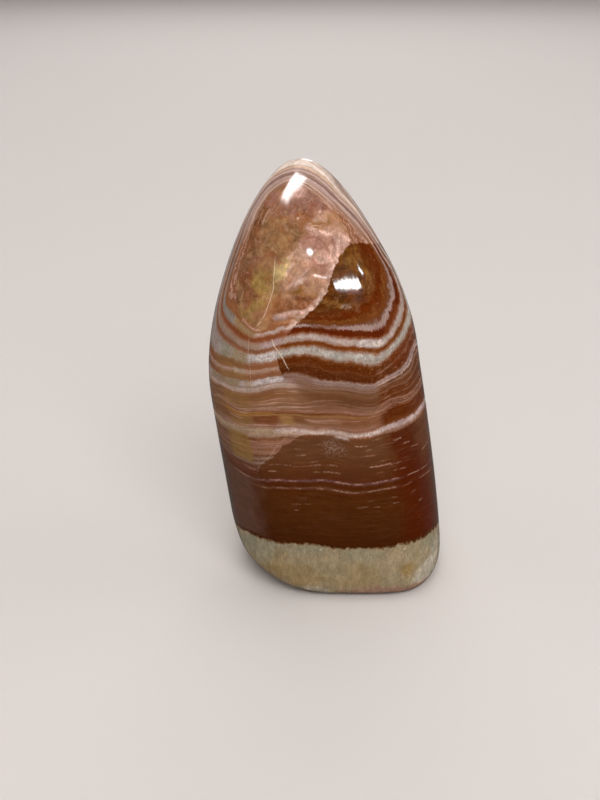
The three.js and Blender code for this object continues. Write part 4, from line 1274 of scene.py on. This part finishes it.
# The upper window is seen bent over the tip and the front one bent over the
# shoulder, so each is a row of panes: direction, width, height, lie of the width.
for name, at, radiance, panes in (
    ("upper_window", (-9.5, -1.4, 104.9), 100, (
        ((-0.0915, -0.3136, 0.9451), 0.150, 0.275, (0.608, 0.726, 0.321)),
        ((-0.2335, -0.3789, 0.8955), 0.097, 0.404, (0.526, 0.722, 0.450)),
        ((-0.3365, -0.4207, 0.8425), 0.458, 0.087, (-0.832, 0.555, 0.028)),
        ((-0.4426, -0.4418, 0.7803), 0.459, 0.087, (0.782, -0.623, 0.033)),
        ((-0.5607, -0.4322, 0.7063), 0.485, 0.079, (0.706, -0.700, 0.110)),
    )),
    ("front_window", (4.2, -11.0, 83.8), 130, (
        ((0.8784, -0.2868, 0.3824), 0.264, 0.035, (-0.359, -0.922, 0.145)),
        ((0.7761, -0.4740, 0.4160), 0.035, 0.279, (-0.327, 0.264, 0.908)),
        ((0.6377, -0.6397, 0.4291), 0.035, 0.255, (-0.338, 0.269, 0.902)),
        ((0.4939, -0.7594, 0.4235), 0.225, 0.034, (0.798, 0.586, 0.142)),
        ((0.3530, -0.8430, 0.4059), 0.178, 0.031, (0.874, 0.447, 0.190)),
        ((0.2156, -0.8995, 0.3801), 0.142, 0.024, (0.918, 0.317, 0.239)),
    )),
):
    for n, (direction, width, height, lie) in enumerate(panes):
        window("%s_%d" % (name, n), at, direction, width, height, radiance, along_axis=lie)
window("glint_high_0", (-5.1, -8.7, 91.2), (-0.0334, -0.9046, 0.4250), 0.0128, 0.0106, 170, along_axis=(0.223, 0.406, 0.886))
window("glint_high_1", (-5.1, -8.7, 91.2), (-0.0190, -0.9045, 0.4260), 0.0164, 0.0113, 170, along_axis=(0.980, 0.067, 0.188))
window("glint_low_0", (-2.6, -11.0, 85.6), (-0.0081, -0.9341, 0.3569), 0.0248, 0.0070, 70, along_axis=(0.979, 0.065, 0.194))
window("glint_low_1", (-2.6, -11.0, 85.6), (0.0313, -0.9313, 0.3630), 0.0451, 0.0071, 45, along_axis=(0.976, 0.104, 0.194))
window("glint_side_0", (7.7, -7.4, 85.8), (0.9374, 0.0951, 0.3350), 0.0082, 0.0556, 100, along_axis=(-0.347, 0.324, 0.880))
window("glint_side_1", (7.7, -7.4, 85.8), (0.9413, 0.1181, 0.3163), 0.0098, 0.0486, 100, along_axis=(-0.338, 0.318, 0.886))
window("back_window", (-6.2, 5.5, 109.8), (0.14, 0.94, 0.30), 0.14, 0.13, 16)
# Wide dim screens behind the stone pale the very edges of its outline.
for n, (turn, rise, width, height, radiance) in enumerate((
    (-5, 14, 1.5, 0.8, 0.22), (-8, 14, 2.3, 1.1, 0.16), (38, -28, 1.1, 0.6, 0.08), (-38, -28, 1.1, 0.6, 0.05),
)):
    a, e = math.radians(turn), math.radians(rise)
    window("back_screen_%d" % n, (0, 0, 60), (math.cos(e) * math.sin(a), math.cos(e) * math.cos(a), math.sin(e)), width, height, radiance)
world = bpy.data.worlds.new("studio")
bpy.context.scene.world = world
world.use_nodes = True
world.node_tree.nodes["Background"].inputs["Color"].default_value = (1.0, 0.98, 0.97, 1)
world.node_tree.nodes["Background"].inputs["Strength"].default_value = 0.07

# ---- camera -----------------------------------------------------------------------------------------
view = bpy.data.cameras.new("camera")
view.lens = 52
view.sensor_width = 36
camera = bpy.data.objects.new("camera", view)
bpy.context.scene.collection.objects.link(camera)
tilt = math.radians(26)
camera.location = (-0.0073587, 0.000541 - 0.304067 * math.cos(tilt), 0.0471995 + 0.304067 * math.sin(tilt))
camera.rotation_euler = (math.radians(64), 0, 0)
view.clip_start = 0.01
bpy.context.scene.camera = camera
bpy.context.scene.view_settings.view_transform = "Standard"
